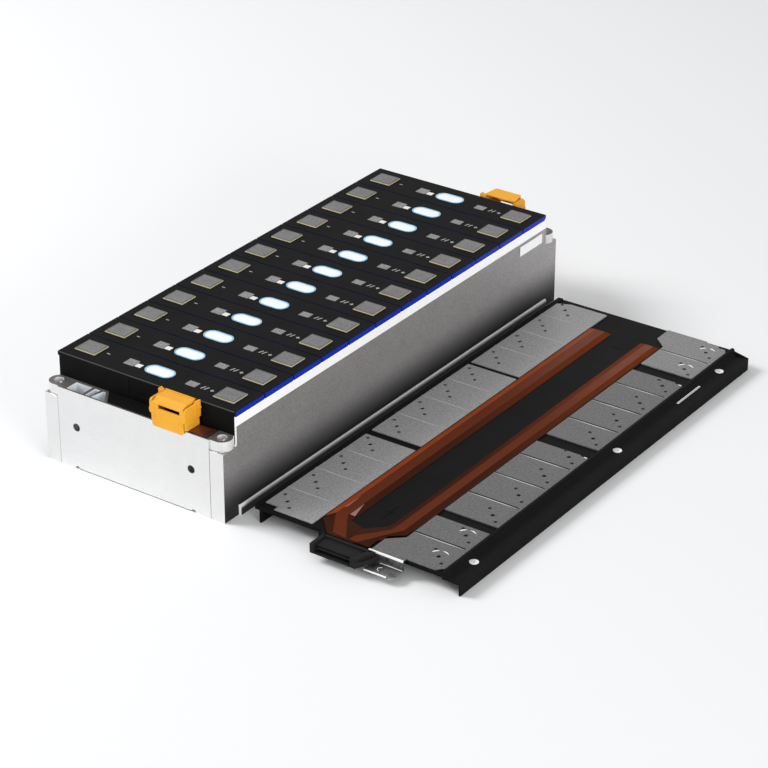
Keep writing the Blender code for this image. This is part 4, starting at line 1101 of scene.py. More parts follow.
@dataclass
class EndFrame:
    """What stands at one end of the stack: the end plate, its bushes, block, bar and cover.

    Args:
        end: The end of the module.
        face_y: The plate's outer face, from the module's middle.
        shadow_strip_half: Half the length of the painted shadow strip under the plate.
        bush_wall: The greatest distance of a bore's faces from its bush's middle.
        collar_radii: The outer and the inner radius of the collar at the bore's mouth, painted dark.
        chamber_half: How far the open chambers reach to each side.
        sheet_reach: How far the thin copper sheet reaches in under the cover.
        sheet_heights: The sheet's underside and top, from the block's top.
        front_wall: The thickness of the plate's outer wall.
        rim_edge: How far the plate's outermost edge reaches in.
        ear_x: How far from the middle the corner bosses start.
    """

    end: End
    face_y: float = 0.2950
    shadow_strip_half: float = 0.0700
    shadow_strip_heights: Point = (0.0004, 0.0010)
    bush_wall: float = 0.0056
    collar_radii: Point = (0.0054, 0.0049)
    chamber_half: float = 0.0960
    collar_depth: float = 0.0012
    sheet_reach: float = 0.0200
    sheet_heights: Point = (0.00005, 0.00020)
    front_wall: float = 0.0018
    rim_edge: float = 0.0005
    ear_x: float = 0.1

    def build(self) -> None:
        """Builds the end."""
        self.build_plate()
        word = self.end.word
        for side in Side:
            self.build_bush(side)
        blocks = f"terminal_block_{word}"
        softened_copy(blocks, f"{blocks}_dressed", "black_plastic", BLACK_MOULDED, 0.0003)
        self.build_bar()
        TerminalCover(self.end).build()

    def build_bar(self) -> None:
        """Builds the copper bar, with the thin copper sheet that runs to the block's edges."""
        node = f"output_bar_{self.end.word}"
        piece = Piece(f"{node}_dressed", "copper", node)
        piece.add(packed_solid(node), COPPER, 0.0002)
        bar_low, bar_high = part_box(node)
        block_low, block_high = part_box(f"terminal_block_{self.end.word}")
        low, high = (block_high.z + rise for rise in self.sheet_heights)
        near = self.end is End.NEAR
        inner_y, back_y = (bar_high.y, bar_low.y) if near else (bar_low.y, bar_high.y)
        front_y = block_low.y if near else block_high.y
        left = bar_high.x - self.sheet_reach
        piece.add(block((left, back_y, low), (bar_high.x, front_y, high)), COPPER)
        piece.add(block((bar_high.x, inner_y, low), (block_high.x, front_y, high)), COPPER_SHADE)
        piece.finish()

    def build_plate(self) -> None:
        """Builds the end plate, with a thin dark strip along its lower edge that is painted shadow.
        """
        node = f"end_plate_{self.end.word}"
        piece = Piece(f"{node}_dressed", "end_plate_metal", node)
        piece.add(packed_solid(node), END_METAL, 0.0004)
        # Painted reflection: the plate's top is painted dark
        piece.repaint(TOP_PAINTED_DARK, self.is_rim)
        # Painted light: the chamber walls and the bosses' outer sides are painted pale
        piece.repaint(CHAMBER_PAINTED_PALE, self.is_chamber)
        piece.repaint(EAR_PAINTED_PALE, self.is_ear)
        # Painted shadow: a thin dark strip where the plate's lower edge meets the floor
        low, high = self.shadow_strip_heights
        shadow_strip_low = (-self.shadow_strip_half, self.face_y - 0.0004, low)
        shadow_strip = turned(block(shadow_strip_low, (self.shadow_strip_half, self.face_y + 0.00005, high)), self.end)
        piece.add(moved(shadow_strip, MODULE), BLACK_MOULDED)
        piece.finish()

    def is_rim(self, centre: Vector, normal: Vector) -> bool:
        """Whether a face belongs to the plate's top, without its outermost edge, which is painted
        dark.
        """
        inside = abs((centre - MODULE).y) < self.face_y - self.rim_edge
        return normal.z > 0.9 or (normal.z > UPRIGHT and inside)

    def is_ear(self, centre: Vector, normal: Vector) -> bool:
        """Whether a face belongs to the outer side of a corner boss."""
        outside = abs((centre - MODULE).x) > self.ear_x
        return outside and abs(normal.x) > 0.35 and abs(normal.z) < UPRIGHT

    def is_chamber(self, centre: Vector, normal: Vector) -> bool:
        """Whether a face is a wall of one of the plate's open chambers.

        Args:
            centre: The face's middle.
            normal: The face's normal.

        Returns:
            Whether it is.
        """
        place = centre - MODULE
        inside = abs(place.y) < self.face_y - self.front_wall and abs(place.x) < self.chamber_half
        return inside and abs(normal.z) < UPRIGHT

    def build_bush(self, side: Side) -> None:
        """Builds a bush, with its bore painted pale and its top and collar painted dark.

        Args:
            side: The bush's side.
        """
        node = f"bush_{self.end.word}_{side.word}"
        low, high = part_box(node)
        middle = (low + high) / 2
        piece = Piece(f"{node}_dressed", "bush_steel", node)
        piece.add(packed_solid(node), BUSH_STEEL, 0.0002)
        # Painted reflection and light: the top and the collar dark, the bore pale
        piece.repaint(TOP_PAINTED_DARK, lambda centre, normal: normal.z > 0.3)
        outlines = [circle(middle.xy, radius, 40) for radius in self.collar_radii]
        piece.add(ringed(*outlines, high.z - self.collar_depth, high.z), TOP_PAINTED_DARK)
        piece.repaint(BORE_PAINTED_PALE, self.is_bore(middle))
        piece.finish()

    def is_bore(self, middle: Vector) -> FaceTest:
        """The test for the faces of a bush's bore, which are painted pale.

        Args:
            middle: The bush's middle.

        Returns:
            The test.
        """
        return lambda centre, normal: (centre - middle).xy.length < self.bush_wall and normal.z < 0.3


@dataclass
class TerminalCover:
    """The orange cover over an output bar: front with skirt, side walls, hood, lip and wings.

    Args:
        end: The end of the module.
        centre_x: The cover's middle.
        front_y: The front's distance from the module's middle.
        back_y: The back's distance.
        front_edge: The front's stepped right edge, from its foot up.
        slot: The slot's lower left and upper right corner.
        window: The far cover's window, in the same way.
        notch_rises: How high the notch in each side wall reaches, left and right.
        raised_edges: The far cover's hood at its back and at its front, each with its ends in X,
            its Y, and its underside and top.
        bridge: The piece of the far cover beside its hood, as its ends in X and in Z.
        wing_edge: The right wing's outline.
    """

    end: End
    centre_x: float = 0.0468
    front_y: float = 0.2975
    back_y: float = 0.2762
    wall: float = 0.0016
    half: float = 0.0218
    low: float = 0.0868
    shoulder: float = 0.1106
    notch_y: float = 0.2950
    notch_rises: Point = (0.0090, 0.0012)
    hood_half: float = 0.0178
    hood_low: float = 0.1082
    hood_top: float = 0.1124
    hood_bend_y: float = 0.2900
    lip_top: float = 0.1134
    lip_depth: float = 0.0014
    raised_edges: tuple[tuple[Point, float, Point], ...] = (
        ((-0.0208, 0.0182), 0.2810, (0.1110, 0.1123)),
        ((-0.0164, 0.0157), 0.2975, (0.1126, 0.1139)),
    )
    bridge: tuple[Point, Point] = ((0.0150, 0.0206), (0.1075, 0.1112))
    bridge_setback: float = 0.0025
    slot: tuple[Point, Point] = ((-0.0114, 0.1026), (0.0150, 0.1068))
    window: tuple[Point, Point] = ((-0.0100, 0.0940), (0.0080, 0.1010))
    front_edge: tuple[Point, ...] = (
        (0.0172, 0.0824),
        (0.0190, 0.0844),
        (0.0190, 0.0950),
        (0.0216, 0.0968),
        (0.0222, 0.0982),
        (0.0222, 0.1014),
        (0.0213, 0.1024),
        (0.0213, 0.1062),
        (0.0190, 0.1084),
    )
    wing_edge: tuple[Point, ...] = (
        (0.0196, 0.0966),
        (0.0216, 0.0944),
        (0.0238, 0.0968),
        (0.0240, 0.1046),
        (0.0248, 0.1054),
        (0.0248, 0.1070),
        (0.0240, 0.1078),
        (0.0240, 0.1136),
        (0.0232, 0.1142),
        (0.0182, 0.1112),
    )
    wing_depth: float = 0.0046
    oval_centre: Point = (0.2860, 0.1030)
    oval_radius: float = 0.0017
    rib_x: Point = (0.0158, 0.0168)
    rib_z: Point = (0.0925, 0.0978)
    edge: float = 0.00025

    def build(self) -> None:
        """Builds the cover."""
        node = f"terminal_cover_{self.end.word}"
        place = MODULE + Vector((self.centre_x, 0, 0))
        piece = Piece(f"{node}_dressed", "orange_plastic", node, place)
        self.put(piece, self.front())
        if self.end is End.NEAR:
            self.put(piece, self.hood())
            lip_low = (-self.hood_half, self.back_y, self.hood_top - 0.0004)
            lip_high = (self.hood_half, self.back_y + self.lip_depth, self.lip_top)
            self.put(piece, block(lip_low, lip_high))
        else:
            for solid in self.raised_hood():
                self.put(piece, solid)
        for side in Side:
            for solid in self.side_solids(side):
                self.put(piece, solid)
        piece.finish()

    def put(self, piece: Piece, solid: Solid) -> None:
        """Adds one of the cover's solids on the cover's own end."""
        piece.add(turned(solid, self.end), ORANGE_MOULDED, self.edge)

    def front(self) -> Solid:
        """The front with its skirt, its stepped edges and the slot.

        Returns:
            The front.
        """
        left = [(-x, z) for x, z in reversed(self.front_edge)]
        outline = [*self.front_edge, *left]
        solid = prism(outline, self.front_y - self.wall, self.front_y, Plane.XZ)
        cutters = [self.opening(self.slot)]
        if self.end is End.FAR:
            cutters.append(self.opening(self.window))
        return carved(solid, cutters)

    def opening(self, corners: tuple[Point, Point]) -> Solid:
        """A cutter through the front, between two corners in X and Z.

        Args:
            corners: The lower left corner and the upper right one.

        Returns:
            The cutter.
        """
        (left, low), (right, high) = corners
        back, front = self.front_y - THROUGH, self.front_y + THROUGH
        return block((left, back, low), (right, front, high))

    def raised_hood(self) -> list[Solid]:
        """The far cover's hood: a thin sloping plate, with the strip that joins it to the front.

        Returns:
            The plate, the strip and the piece beside it.
        """
        loops = []
        for (left, right), y, (low, high) in self.raised_edges:
            outline = [(left, low), (right, low), (right, high), (left, high)]
            loops.append([Plane.XZ.point(p, y) for p in outline])
        (_, back_y, _), (front_x, _, front_z) = self.raised_edges
        inner_y = self.front_y - self.wall
        strip_low = (front_x[0], inner_y, self.hood_low - 0.0004)
        strip = block(strip_low, (front_x[1], self.front_y, front_z[0] + 0.0004))
        bridge_x, bridge_z = self.bridge
        bridge_low = (bridge_x[0], back_y + self.bridge_setback, bridge_z[0])
        bridge = block(bridge_low, (bridge_x[1], inner_y, bridge_z[1]))
        return [loft(loops), strip, bridge]

    def hood(self) -> Solid:
        """The hood: flat on top, sloping down to the front's upper edge, hollow underneath.

        Returns:
            The hood.
        """
        front = self.front_y
        profile = [
            (self.back_y, self.hood_low),
            (front, self.hood_low),
            (self.hood_bend_y, self.hood_top),
            (self.back_y, self.hood_top),
        ]
        solid = prism(profile, -self.hood_half, self.hood_half, Plane.YZ)
        inner = [
            (self.back_y - THROUGH, self.hood_low - THROUGH),
            (front - self.wall, self.hood_low - THROUGH),
            (front - 2 * self.wall, self.hood_low),
            (self.hood_bend_y, self.hood_top - self.wall),
            (self.back_y - THROUGH, self.hood_top - self.wall),
        ]
        reach = self.hood_half - self.wall
        return carved(solid, [prism(inner, -reach, reach, Plane.YZ)])

    def side_solids(self, side: Side) -> list[Solid]:
        """The side wall, the floor of the channel beside the hood, the wing and the small marks.

        Args:
            side: The cover's side.

        Returns:
            The solids.
        """
        sign = side.value
        channel_low = (sign * (self.hood_half - 0.0002), self.back_y, self.hood_low - 0.0010)
        channel_high = (sign * (self.half - 0.0004), self.front_y - 0.0010, self.hood_low + 0.0001)
        wing_outline = [(sign * x, z) for x, z in self.wing_edge]
        wing = prism(wing_outline, self.back_y, self.back_y + self.wing_depth, Plane.XZ)
        rib_low = (sign * self.rib_x[0], self.front_y - 0.0005, self.rib_z[0])
        rib = block(rib_low, (sign * self.rib_x[1], self.front_y + 0.0004, self.rib_z[1]))
        channel = block(channel_low, channel_high)
        return [self.side_wall(side), channel, wing, self.oval_mark(side), rib]

    def side_wall(self, side: Side) -> Solid:
        """The side wall, with a notch at its lower front corner.

        Args:
            side: The cover's side.

        Returns:
            The wall.
        """
        rise = self.notch_rises[0] if side is Side.LEFT else self.notch_rises[1]
        notch_top = self.low + rise
        outline = [
            (self.back_y, self.low),
            (self.notch_y, self.low),
            (self.notch_y + 0.0004, notch_top),
            (self.front_y - 0.0003, notch_top),
            (self.front_y - 0.0003, self.hood_low),
            (self.front_y - 0.0024, self.shoulder),
            (self.back_y, self.shoulder),
        ]
        inside, outside = sorted((side.value * (self.half - self.wall), side.value * self.half))
        return prism(outline, inside, outside, Plane.YZ)

    def oval_mark(self, side: Side) -> Solid:
        """The small oval that stands out of the side wall.

        Args:
            side: The cover's side.

        Returns:
            The oval.
        """
        y, z = self.oval_centre
        outline = [(a * 0.5 + y, b + z) for a, b in circle((0, 0), self.oval_radius, 12)]
        low, high = sorted((side.value * (self.half - 0.0004), side.value * (self.half + 0.00035)))
        return prism(outline, low, high, Plane.YZ)


@dataclass
class SidePlate:
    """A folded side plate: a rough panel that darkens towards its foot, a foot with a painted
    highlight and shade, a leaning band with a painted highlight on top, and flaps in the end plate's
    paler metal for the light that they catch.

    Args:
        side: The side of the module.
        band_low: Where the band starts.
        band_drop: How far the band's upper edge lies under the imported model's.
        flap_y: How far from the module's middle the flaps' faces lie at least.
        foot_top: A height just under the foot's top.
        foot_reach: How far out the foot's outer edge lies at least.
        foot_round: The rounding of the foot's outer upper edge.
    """

    side: Side
    band_low: float = 0.0966
    band_drop: float = 0.0010
    flap_y: float = 0.2926
    foot_top: float = 0.0100
    foot_reach: float = 0.1138
    foot_round: float = 0.0021

    def build(self) -> None:
        """Builds the plate."""
        node = f"side_plate_{self.side.word}"
        piece = Piece(f"{node}_dressed", "side_plate_metal", node)
        solid = packed_solid(node)
        for vertex in solid.verts:
            if vertex.co.z > self.band_low + 0.005:
                vertex.co.z -= self.band_drop
        self.round_foot(solid)
        piece.add(solid, SIDE_METAL, 0.0007)
        # Painted light: a highlight and shade on the foot, the end plate's paler metal on the flaps,
        # a highlight on the band and the upright ends
        piece.repaint(FOOT_HIGHLIGHT_AND_SHADE, self.is_foot)
        piece.repaint(END_METAL, self.is_flap)
        piece.repaint(PAINTED_HIGHLIGHT, self.is_painted_highlight)
        piece.finish()

    def round_foot(self, solid: Solid) -> None:
        """Rounds the foot's outer upper edge broadly."""
        edges = [edge for edge in solid.edges if all(self.on_foot_edge(v.co) for v in edge.verts)]
        bevel(solid, edges, self.foot_round, steps=5, profile=0.5)

    def on_foot_edge(self, place: Vector) -> bool:
        """Whether a point lies on the foot's outer upper edge."""
        reach = abs(place.x - MODULE.x)
        return reach > self.foot_reach and self.foot_top < place.z < self.foot_top + 0.004

    def is_foot(self, centre: Vector, normal: Vector) -> bool:
        """Whether a face belongs to the foot's top or to its outer face."""
        return abs(centre.x - MODULE.x) > self.foot_reach - 0.0018 and centre.z < 0.02

    def is_flap(self, centre: Vector, normal: Vector) -> bool:
        """Whether a face belongs to an end flap or to the bend beside it."""
        return abs(centre.y - MODULE.y) > self.flap_y and abs(normal.x) < 0.95

    def is_painted_highlight(self, centre: Vector, normal: Vector) -> bool:
        """Whether a face gets the painted highlight: the top band or the plate's upright ends.

        Args:
            centre: The face's middle.
            normal: The face's normal.

        Returns:
            Whether it does.
        """
        band = centre.z > self.band_low and normal.x * self.side.value > 0.1
        end = abs(normal.y) > 0.5 and abs(centre.y - MODULE.y) < self.flap_y
        return band or end


@dataclass
class Carrier:
    """The tray's black carrier, with eyelets painted pale in its ledge and signs on its middle
    painted as dark shade.

    Args:
        ledge_top: The ledge's top.
        hole_x: Where the ledge's holes lie, from the tray's middle.
        slot_inset: How far the slot's lining reaches in at its foot, both sides together.
        cap_outline: The cap at the cove's far end, in X and Z.
        cap_depths: Where the cap starts and ends, in from the carrier's far end.
        signs: The bars of the signs on the middle, painted as the dark shade of engraved signs, each
            with its centre and its size.
    """

    ledge_top: float = 0.0137
    ledge_depth: float = 0.0052
    hole_x: float = 0.1145
    hole_ys: tuple[float, ...] = (-0.2335, 0.0230, 0.2290)
    hole_radius: float = 0.0047
    eyelet_wall: float = 0.0005
    slot_y: float = 0.1650
    slot_length: float = 0.0458
    slot_width: float = 0.0024
    slot_inset: float = 0.0023
    rib_top: float = 0.0185
    cap_outline: tuple[Point, ...] = (
        (0.1076, 0.0130),
        (0.1076, 0.0176),
        (0.1253, 0.0139),
        (0.1253, 0.0130),
    )
    cap_depths: Point = (0.0018, 0.0001)
    signs: tuple[tuple[Point, Point], ...] = (
        ((0.0052, -0.2110), (0.0124, 0.0010)),
        ((0.0052, -0.2110), (0.0010, 0.0260)),
        ((0.0055, 0.2050), (0.0110, 0.0010)),
    )

    def build(self) -> None:
        """Builds the carrier, its eyelets and the slot's lining."""
        piece = Piece("tray_carrier_dressed", "black_plastic", "tray_carrier")
        piece.add(packed_solid("tray_carrier"), BLACK_MOULDED, 0.0004)
        # Painted shade: the signs' dark bars
        for centre, size in self.signs:
            mark = prism(rectangle(centre, size), self.rib_top - SUNK, self.rib_top + 0.00006)
            piece.add(moved(mark, TRAY), SIGN_SHADE)
        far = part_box("tray_carrier")[1].y - TRAY.y
        low, high = (far - depth for depth in self.cap_depths)
        piece.add(moved(prism(self.cap_outline, low, high, Plane.XZ), TRAY), BLACK_MOULDED, 0.0002)
        piece.finish()
        for number, y in enumerate(self.hole_ys, 1):
            self.build_eyelet(number, y)
        self.build_slot_lining()

    def build_eyelet(self, number: int, y: float) -> None:
        """Builds the eyelet in a hole of the ledge, painted pale for the lit floor seen through the
        hole.

        Args:
            number: The hole's number from the near end.
            y: The hole's place along the tray.
        """
        piece = Piece(f"ledge_eyelet_{number}", "busbar_metal", place=TRAY)
        centre = (self.hole_x, y)
        low = self.ledge_top - self.ledge_depth
        radii = (self.hole_radius, self.hole_radius - self.eyelet_wall, self.hole_radius * 0.3)
        outlines = [circle(centre, radius, 32) for radius in radii]
        piece.add(self.funnel(outlines, low), WHITE_LABEL_AND_PAINTED_LIGHT)
        piece.finish()

    def build_slot_lining(self) -> None:
        """Builds the lining of the long slot in the ledge, painted pale for the lit floor seen
        through the slot.
        """
        piece = Piece("ledge_slot_lining", "busbar_metal", place=TRAY)
        centre = (self.hole_x, self.slot_y)
        size = (self.slot_width, self.slot_length)
        insets = (0.0, 0.0002, self.slot_inset)
        outlines = [rectangle(centre, smaller(size, inset)) for inset in insets]
        piece.add(self.funnel(outlines, self.ledge_top - self.ledge_depth), WHITE_LABEL_AND_PAINTED_LIGHT)
        piece.finish()

    def funnel(self, outlines: Sequence[Sequence[Point]], low: float) -> Solid:
        """A ring whose inner face slopes down towards a smaller opening.

        Args:
            outlines: The outer outline, the opening's upper outline and its lower one.
            low: The underside's height.

        Returns:
            The ring.
        """
        outer, upper, lower = outlines
        top = self.ledge_top + 0.0002
        rows = ((outer, low), (outer, top), (upper, top), (lower, top - 0.0002), (lower, low))
        return loft([[Plane.XY.point(p, z) for p in outline] for outline, z in rows], ring=True)


@dataclass(frozen=True)
class Glint:
    """A painted highlight: a bright bar on the terminal tab or on a plate's stepped edge.

    Args:
        across: Its ends in X, from the tray's middle.
        along: Its sides in Y, from the line that it lies on.
        height: Its underside and top, from the face that it lies on.
        edge: How far its edges are rounded.
    """

    across: Point
    along: Point
    height: Point
    edge: float = 0.0

    def solid(self, y: float, z: float) -> Solid:
        """The bar over a line and a face."""
        sides = ((y + step for step in self.along), (z + step for step in self.height))
        return block(*zip(self.across, *sides))


@dataclass
class BusbarPlate:
    """A busbar plate with a line at each cell boundary and arcs round some contacts.

    Each line is a bead painted pale as a highlight, with a groove painted dark as shade beside it on
    the right plates; the arcs are painted highlights.

    Args:
        side: The tray's side.
        number: The plate's number on its side, from the near end.
        boundaries: The cell boundaries that its lines follow, counted from the near end.
        metal: The plate's finish, one of the lit and shaded copies of the plate metal.
        ringed_cells: The cells whose contacts have embossed arcs with painted highlights.
        steps: Where the far edge steps back and how far, from the inside out.
        has_step_glint: Whether the stepped edge has a painted highlight at its outer end.
        tabbed: Whether the plate ends in the folded terminal tab.
        bead_shares: A bead's thickness, as parts of its length and of its full section.
        ring_arcs: Where the arcs round a contact start and stop, in degrees.
        ring_half_widths: Half an arc's width at its foot and at its crest.
        tab_height: A height between the plate's top and the tab.
        tab_reach: How far the tab reaches from the plate's edge.
        tab_hole: The hole in the tab, from the tray's middle in X and the tab's end in Y.
        crescent_radii: The outer and the inner radius of the painted highlight on the hole's rim.
    """

    side: Side
    number: int
    boundaries: tuple[int, ...]
    metal: Finish
    ringed_cells: tuple[int, ...] = ()
    steps: tuple[Point, ...] = ()
    has_step_glint: bool = False
    tabbed: bool = False
    top: float = 0.0190
    groove_width: float = 0.0018
    groove_depth: float = 0.0005
    groove_reach: Point = (0.0440, 0.1010)
    bead_reach: Point = (0.0460, 0.1040)
    bead_width: float = 0.0013
    bead_height: float = 0.00025
    bead_shares: tuple[Point, ...] = ((0.0, 0.15), (0.35, 1.0), (0.75, 1.0), (1.0, 0.15))
    contact_x: float = 0.0871
    contact_y: float = -0.0010
    side_hole_offset: float = 0.0092
    rim_radii: Point = (0.0018, 0.0011)
    rim_rise: float = 0.00005
    ring_radius: float = 0.0098
    ring_arcs: tuple[Point, ...] = ((46.0, 98.0), (116.0, 162.0))
    ring_height: float = 0.0005
    ring_half_widths: Point = (0.0006, 0.0003)
    ring_steps: int = 12
    tab_height: float = 0.0178
    tab_top: float = 0.0087
    tab_reach: float = 0.0180
    tab_hole: Point = (0.0470, 0.0085)
    crescent_radii: Point = (0.0034, 0.0028)
    bend: Glint = Glint((0.0268, 0.0658), (-0.0003, 0.0014), (-0.0020, 0.0002), 0.0005)
    fold: Glint = Glint((0.0400, 0.0655), (-0.0012, -0.0004), (-0.0003, 0.0002))
    near_rim: Glint = Glint((0.0335, 0.0590), (-0.0002, 0.0009), (-0.0011, 0.0001), 0.0003)
    step_glint: Glint = Glint((0.1000, 0.1032), (-0.0012, -0.0001), (0.0, 0.0003))

    def build(self) -> None:
        """Builds the plate."""
        node = f"busbar_{self.side.word}_{self.number}"
        near_y, far_y = (corner.y - TRAY.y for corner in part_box(node))
        piece = Piece(f"{node}_dressed", "busbar_metal", node)
        solid = packed_solid(node)
        cutters = self.step_cutters(far_y)
        if self.side is Side.RIGHT:
            cutters += [self.groove(line) for line in self.boundaries]
        if cutters:
            solid = carved(solid, [moved(cutter, TRAY) for cutter in cutters])
        piece.add(solid, self.metal, 0.00015)
        # Painted shade in the grooves
        piece.repaint(PLATE_SHADE, self.is_groove)
        for line in self.boundaries:
            # Painted highlight: the pale beads
            piece.add(moved(self.bead(line), TRAY), BEAD_HIGHLIGHT)
        # Painted highlight: the bright arcs round some contacts
        for cell in self.ringed_cells:
            for start, stop in self.ring_arcs:
                piece.add(moved(self.ring(cell, start, stop), TRAY), PAINTED_HIGHLIGHT)
        if self.tabbed:
            self.dress_tab(piece, near_y)
        # Painted highlight at the stepped edge's outer end
        if self.has_step_glint:
            step_glint = self.step_glint.solid(far_y - self.steps[-1][1], self.top)
            piece.add(moved(step_glint, TRAY), PAINTED_HIGHLIGHT)
        self.add_rims(piece)
        piece.finish()

    def contact(self, cell: int) -> Point:
        """The middle of a cell's contact, from the tray's middle."""
        y = self.contact_y + (cell - (CELL_COUNT - 1) / 2) * CELL_PITCH
        return (self.side.value * self.contact_x, y)

    def add_rims(self, piece: Piece) -> None:
        """Adds painted shade round the small holes beside each contact, as dark rims.

        Args:
            piece: The plate's piece.
        """
        for cell in range(self.boundaries[0] - 1, self.boundaries[-1] + 1):
            x, y = self.contact(cell)
            for step in (-self.side_hole_offset, self.side_hole_offset):
                outlines = [circle((x - step, y + step), radius, 16) for radius in self.rim_radii]
                rim = ringed(*outlines, self.top - SUNK, self.top + self.rim_rise)
                piece.add(moved(rim, TRAY), PLATE_SHADE)

    def dress_tab(self, piece: Piece, end_y: float) -> None:
        """Paints the terminal tab, and adds painted highlights on its bends, its near rim and its
        hole's rim.

        Args:
            piece: The plate's piece.
            end_y: The tab's near end, from the tray's middle.
        """
        piece.repaint(TAB_METAL, lambda centre, normal: centre.z < self.tab_height)
        edge = end_y + self.tab_reach
        glints = (
            (self.bend, edge, self.top),
            (self.fold, edge, self.tab_top),
            (self.near_rim, end_y, self.tab_top),
        )
        for glint, y, z in glints:
            piece.add(moved(glint.solid(y, z), TRAY), PAINTED_HIGHLIGHT, glint.edge)
        centre = (self.tab_hole[0], end_y + self.tab_hole[1])
        outer, inner = self.crescent_radii
        crescent = arc(centre, outer, 90, 270, 16) + arc(centre, inner, 270, 90, 16)
        hole_highlight = prism(crescent, self.tab_top - SUNK, self.tab_top + 0.0001)
        piece.add(moved(hole_highlight, TRAY), PAINTED_HIGHLIGHT)

    def is_groove(self, centre: Vector, normal: Vector) -> bool:
        """Whether a face lies in one of the plate's grooves.

        Args:
            centre: The face's middle.
            normal: The face's normal.

        Returns:
            Whether it does.
        """
        place = centre - TRAY
        lines = [self.boundary_y(line) for line in self.boundaries]
        near_line = any(abs(place.y - y) < self.groove_width for y in lines)
        inner, outer = self.groove_reach
        across = inner - 0.001 < abs(place.x) < outer + 0.001
        depth = self.top - place.z
        return near_line and across and SUNK < depth < self.groove_depth + SUNK

    def step_cutters(self, far_y: float) -> list[Solid]:
        """The cutters that set the far edge back towards its outer end.

        Args:
            far_y: The far edge, from the tray's middle.

        Returns:
            A cutter for each step.
        """
        high = (0.2, far_y + THROUGH, self.top + THROUGH)
        return [block((x, far_y - depth, self.top - THROUGH), high) for x, depth in self.steps]

    def boundary_y(self, line: int) -> float:
        """Where a cell boundary lies, from the tray's middle."""
        return (line - CELL_COUNT / 2) * CELL_PITCH

    def groove(self, line: int) -> Solid:
        """A cutter for the groove at a cell boundary.

        Args:
            line: The boundary, counted from the near end.

        Returns:
            The cutter.
        """
        y = self.boundary_y(line)
        inner, outer = (self.side.value * x for x in self.groove_reach)
        low = (inner, y, self.top - self.groove_depth)
        return block(low, (outer, y + self.groove_width, self.top + 0.001))

    def bead(self, line: int) -> Solid:
        """The low bead along a cell boundary, tapered at both ends and painted pale as a highlight.

        Args:
            line: The boundary, counted from the near end.

        Returns:
            The bead.
        """
        y = self.boundary_y(line) - self.bead_width / 2
        inner, outer = self.bead_reach if self.side is Side.LEFT else self.groove_reach
        foot = self.top - SUNK
        loops = []
        for part, share in self.bead_shares:
            half = self.bead_width / 2 * share
            crest = self.top + self.bead_height * share
            loop = [(y - half, foot), (y + half, foot), (y + half / 3, crest), (y - half / 3, crest)]
            x = self.side.value * (inner + (outer - inner) * part)
            loops.append([Plane.YZ.point(point, x) for point in loop])
        return loft(loops)

    def ring(self, cell: int, start: float, stop: float) -> Solid:
        """An embossed arc round a contact, thin at its ends, painted as a highlight.

        Args:
            cell: The cell, counted from the near end.
            start: The angle where the arc starts, in degrees.
            stop: The angle where it stops.

        Returns:
            The arc's solid.
        """
        centre = self.contact(cell)
        foot, crest = self.ring_half_widths
        loops = []
        for i in range(self.ring_steps + 1):
            share = 0.15 + 0.85 * math.sin(math.pi * i / self.ring_steps)
            angle = start + (stop - start) * i / self.ring_steps
            rise = self.ring_height * share
            loop = []
            for offset, height in ((-foot, -SUNK), (-crest, rise), (crest, rise), (foot, -SUNK)):
                point = arc(centre, self.ring_radius + offset * share, angle, angle, 1)[0]
                loop.append(Plane.XY.point(point, self.top + height))
            loops.append(loop)
        return loft(loops)


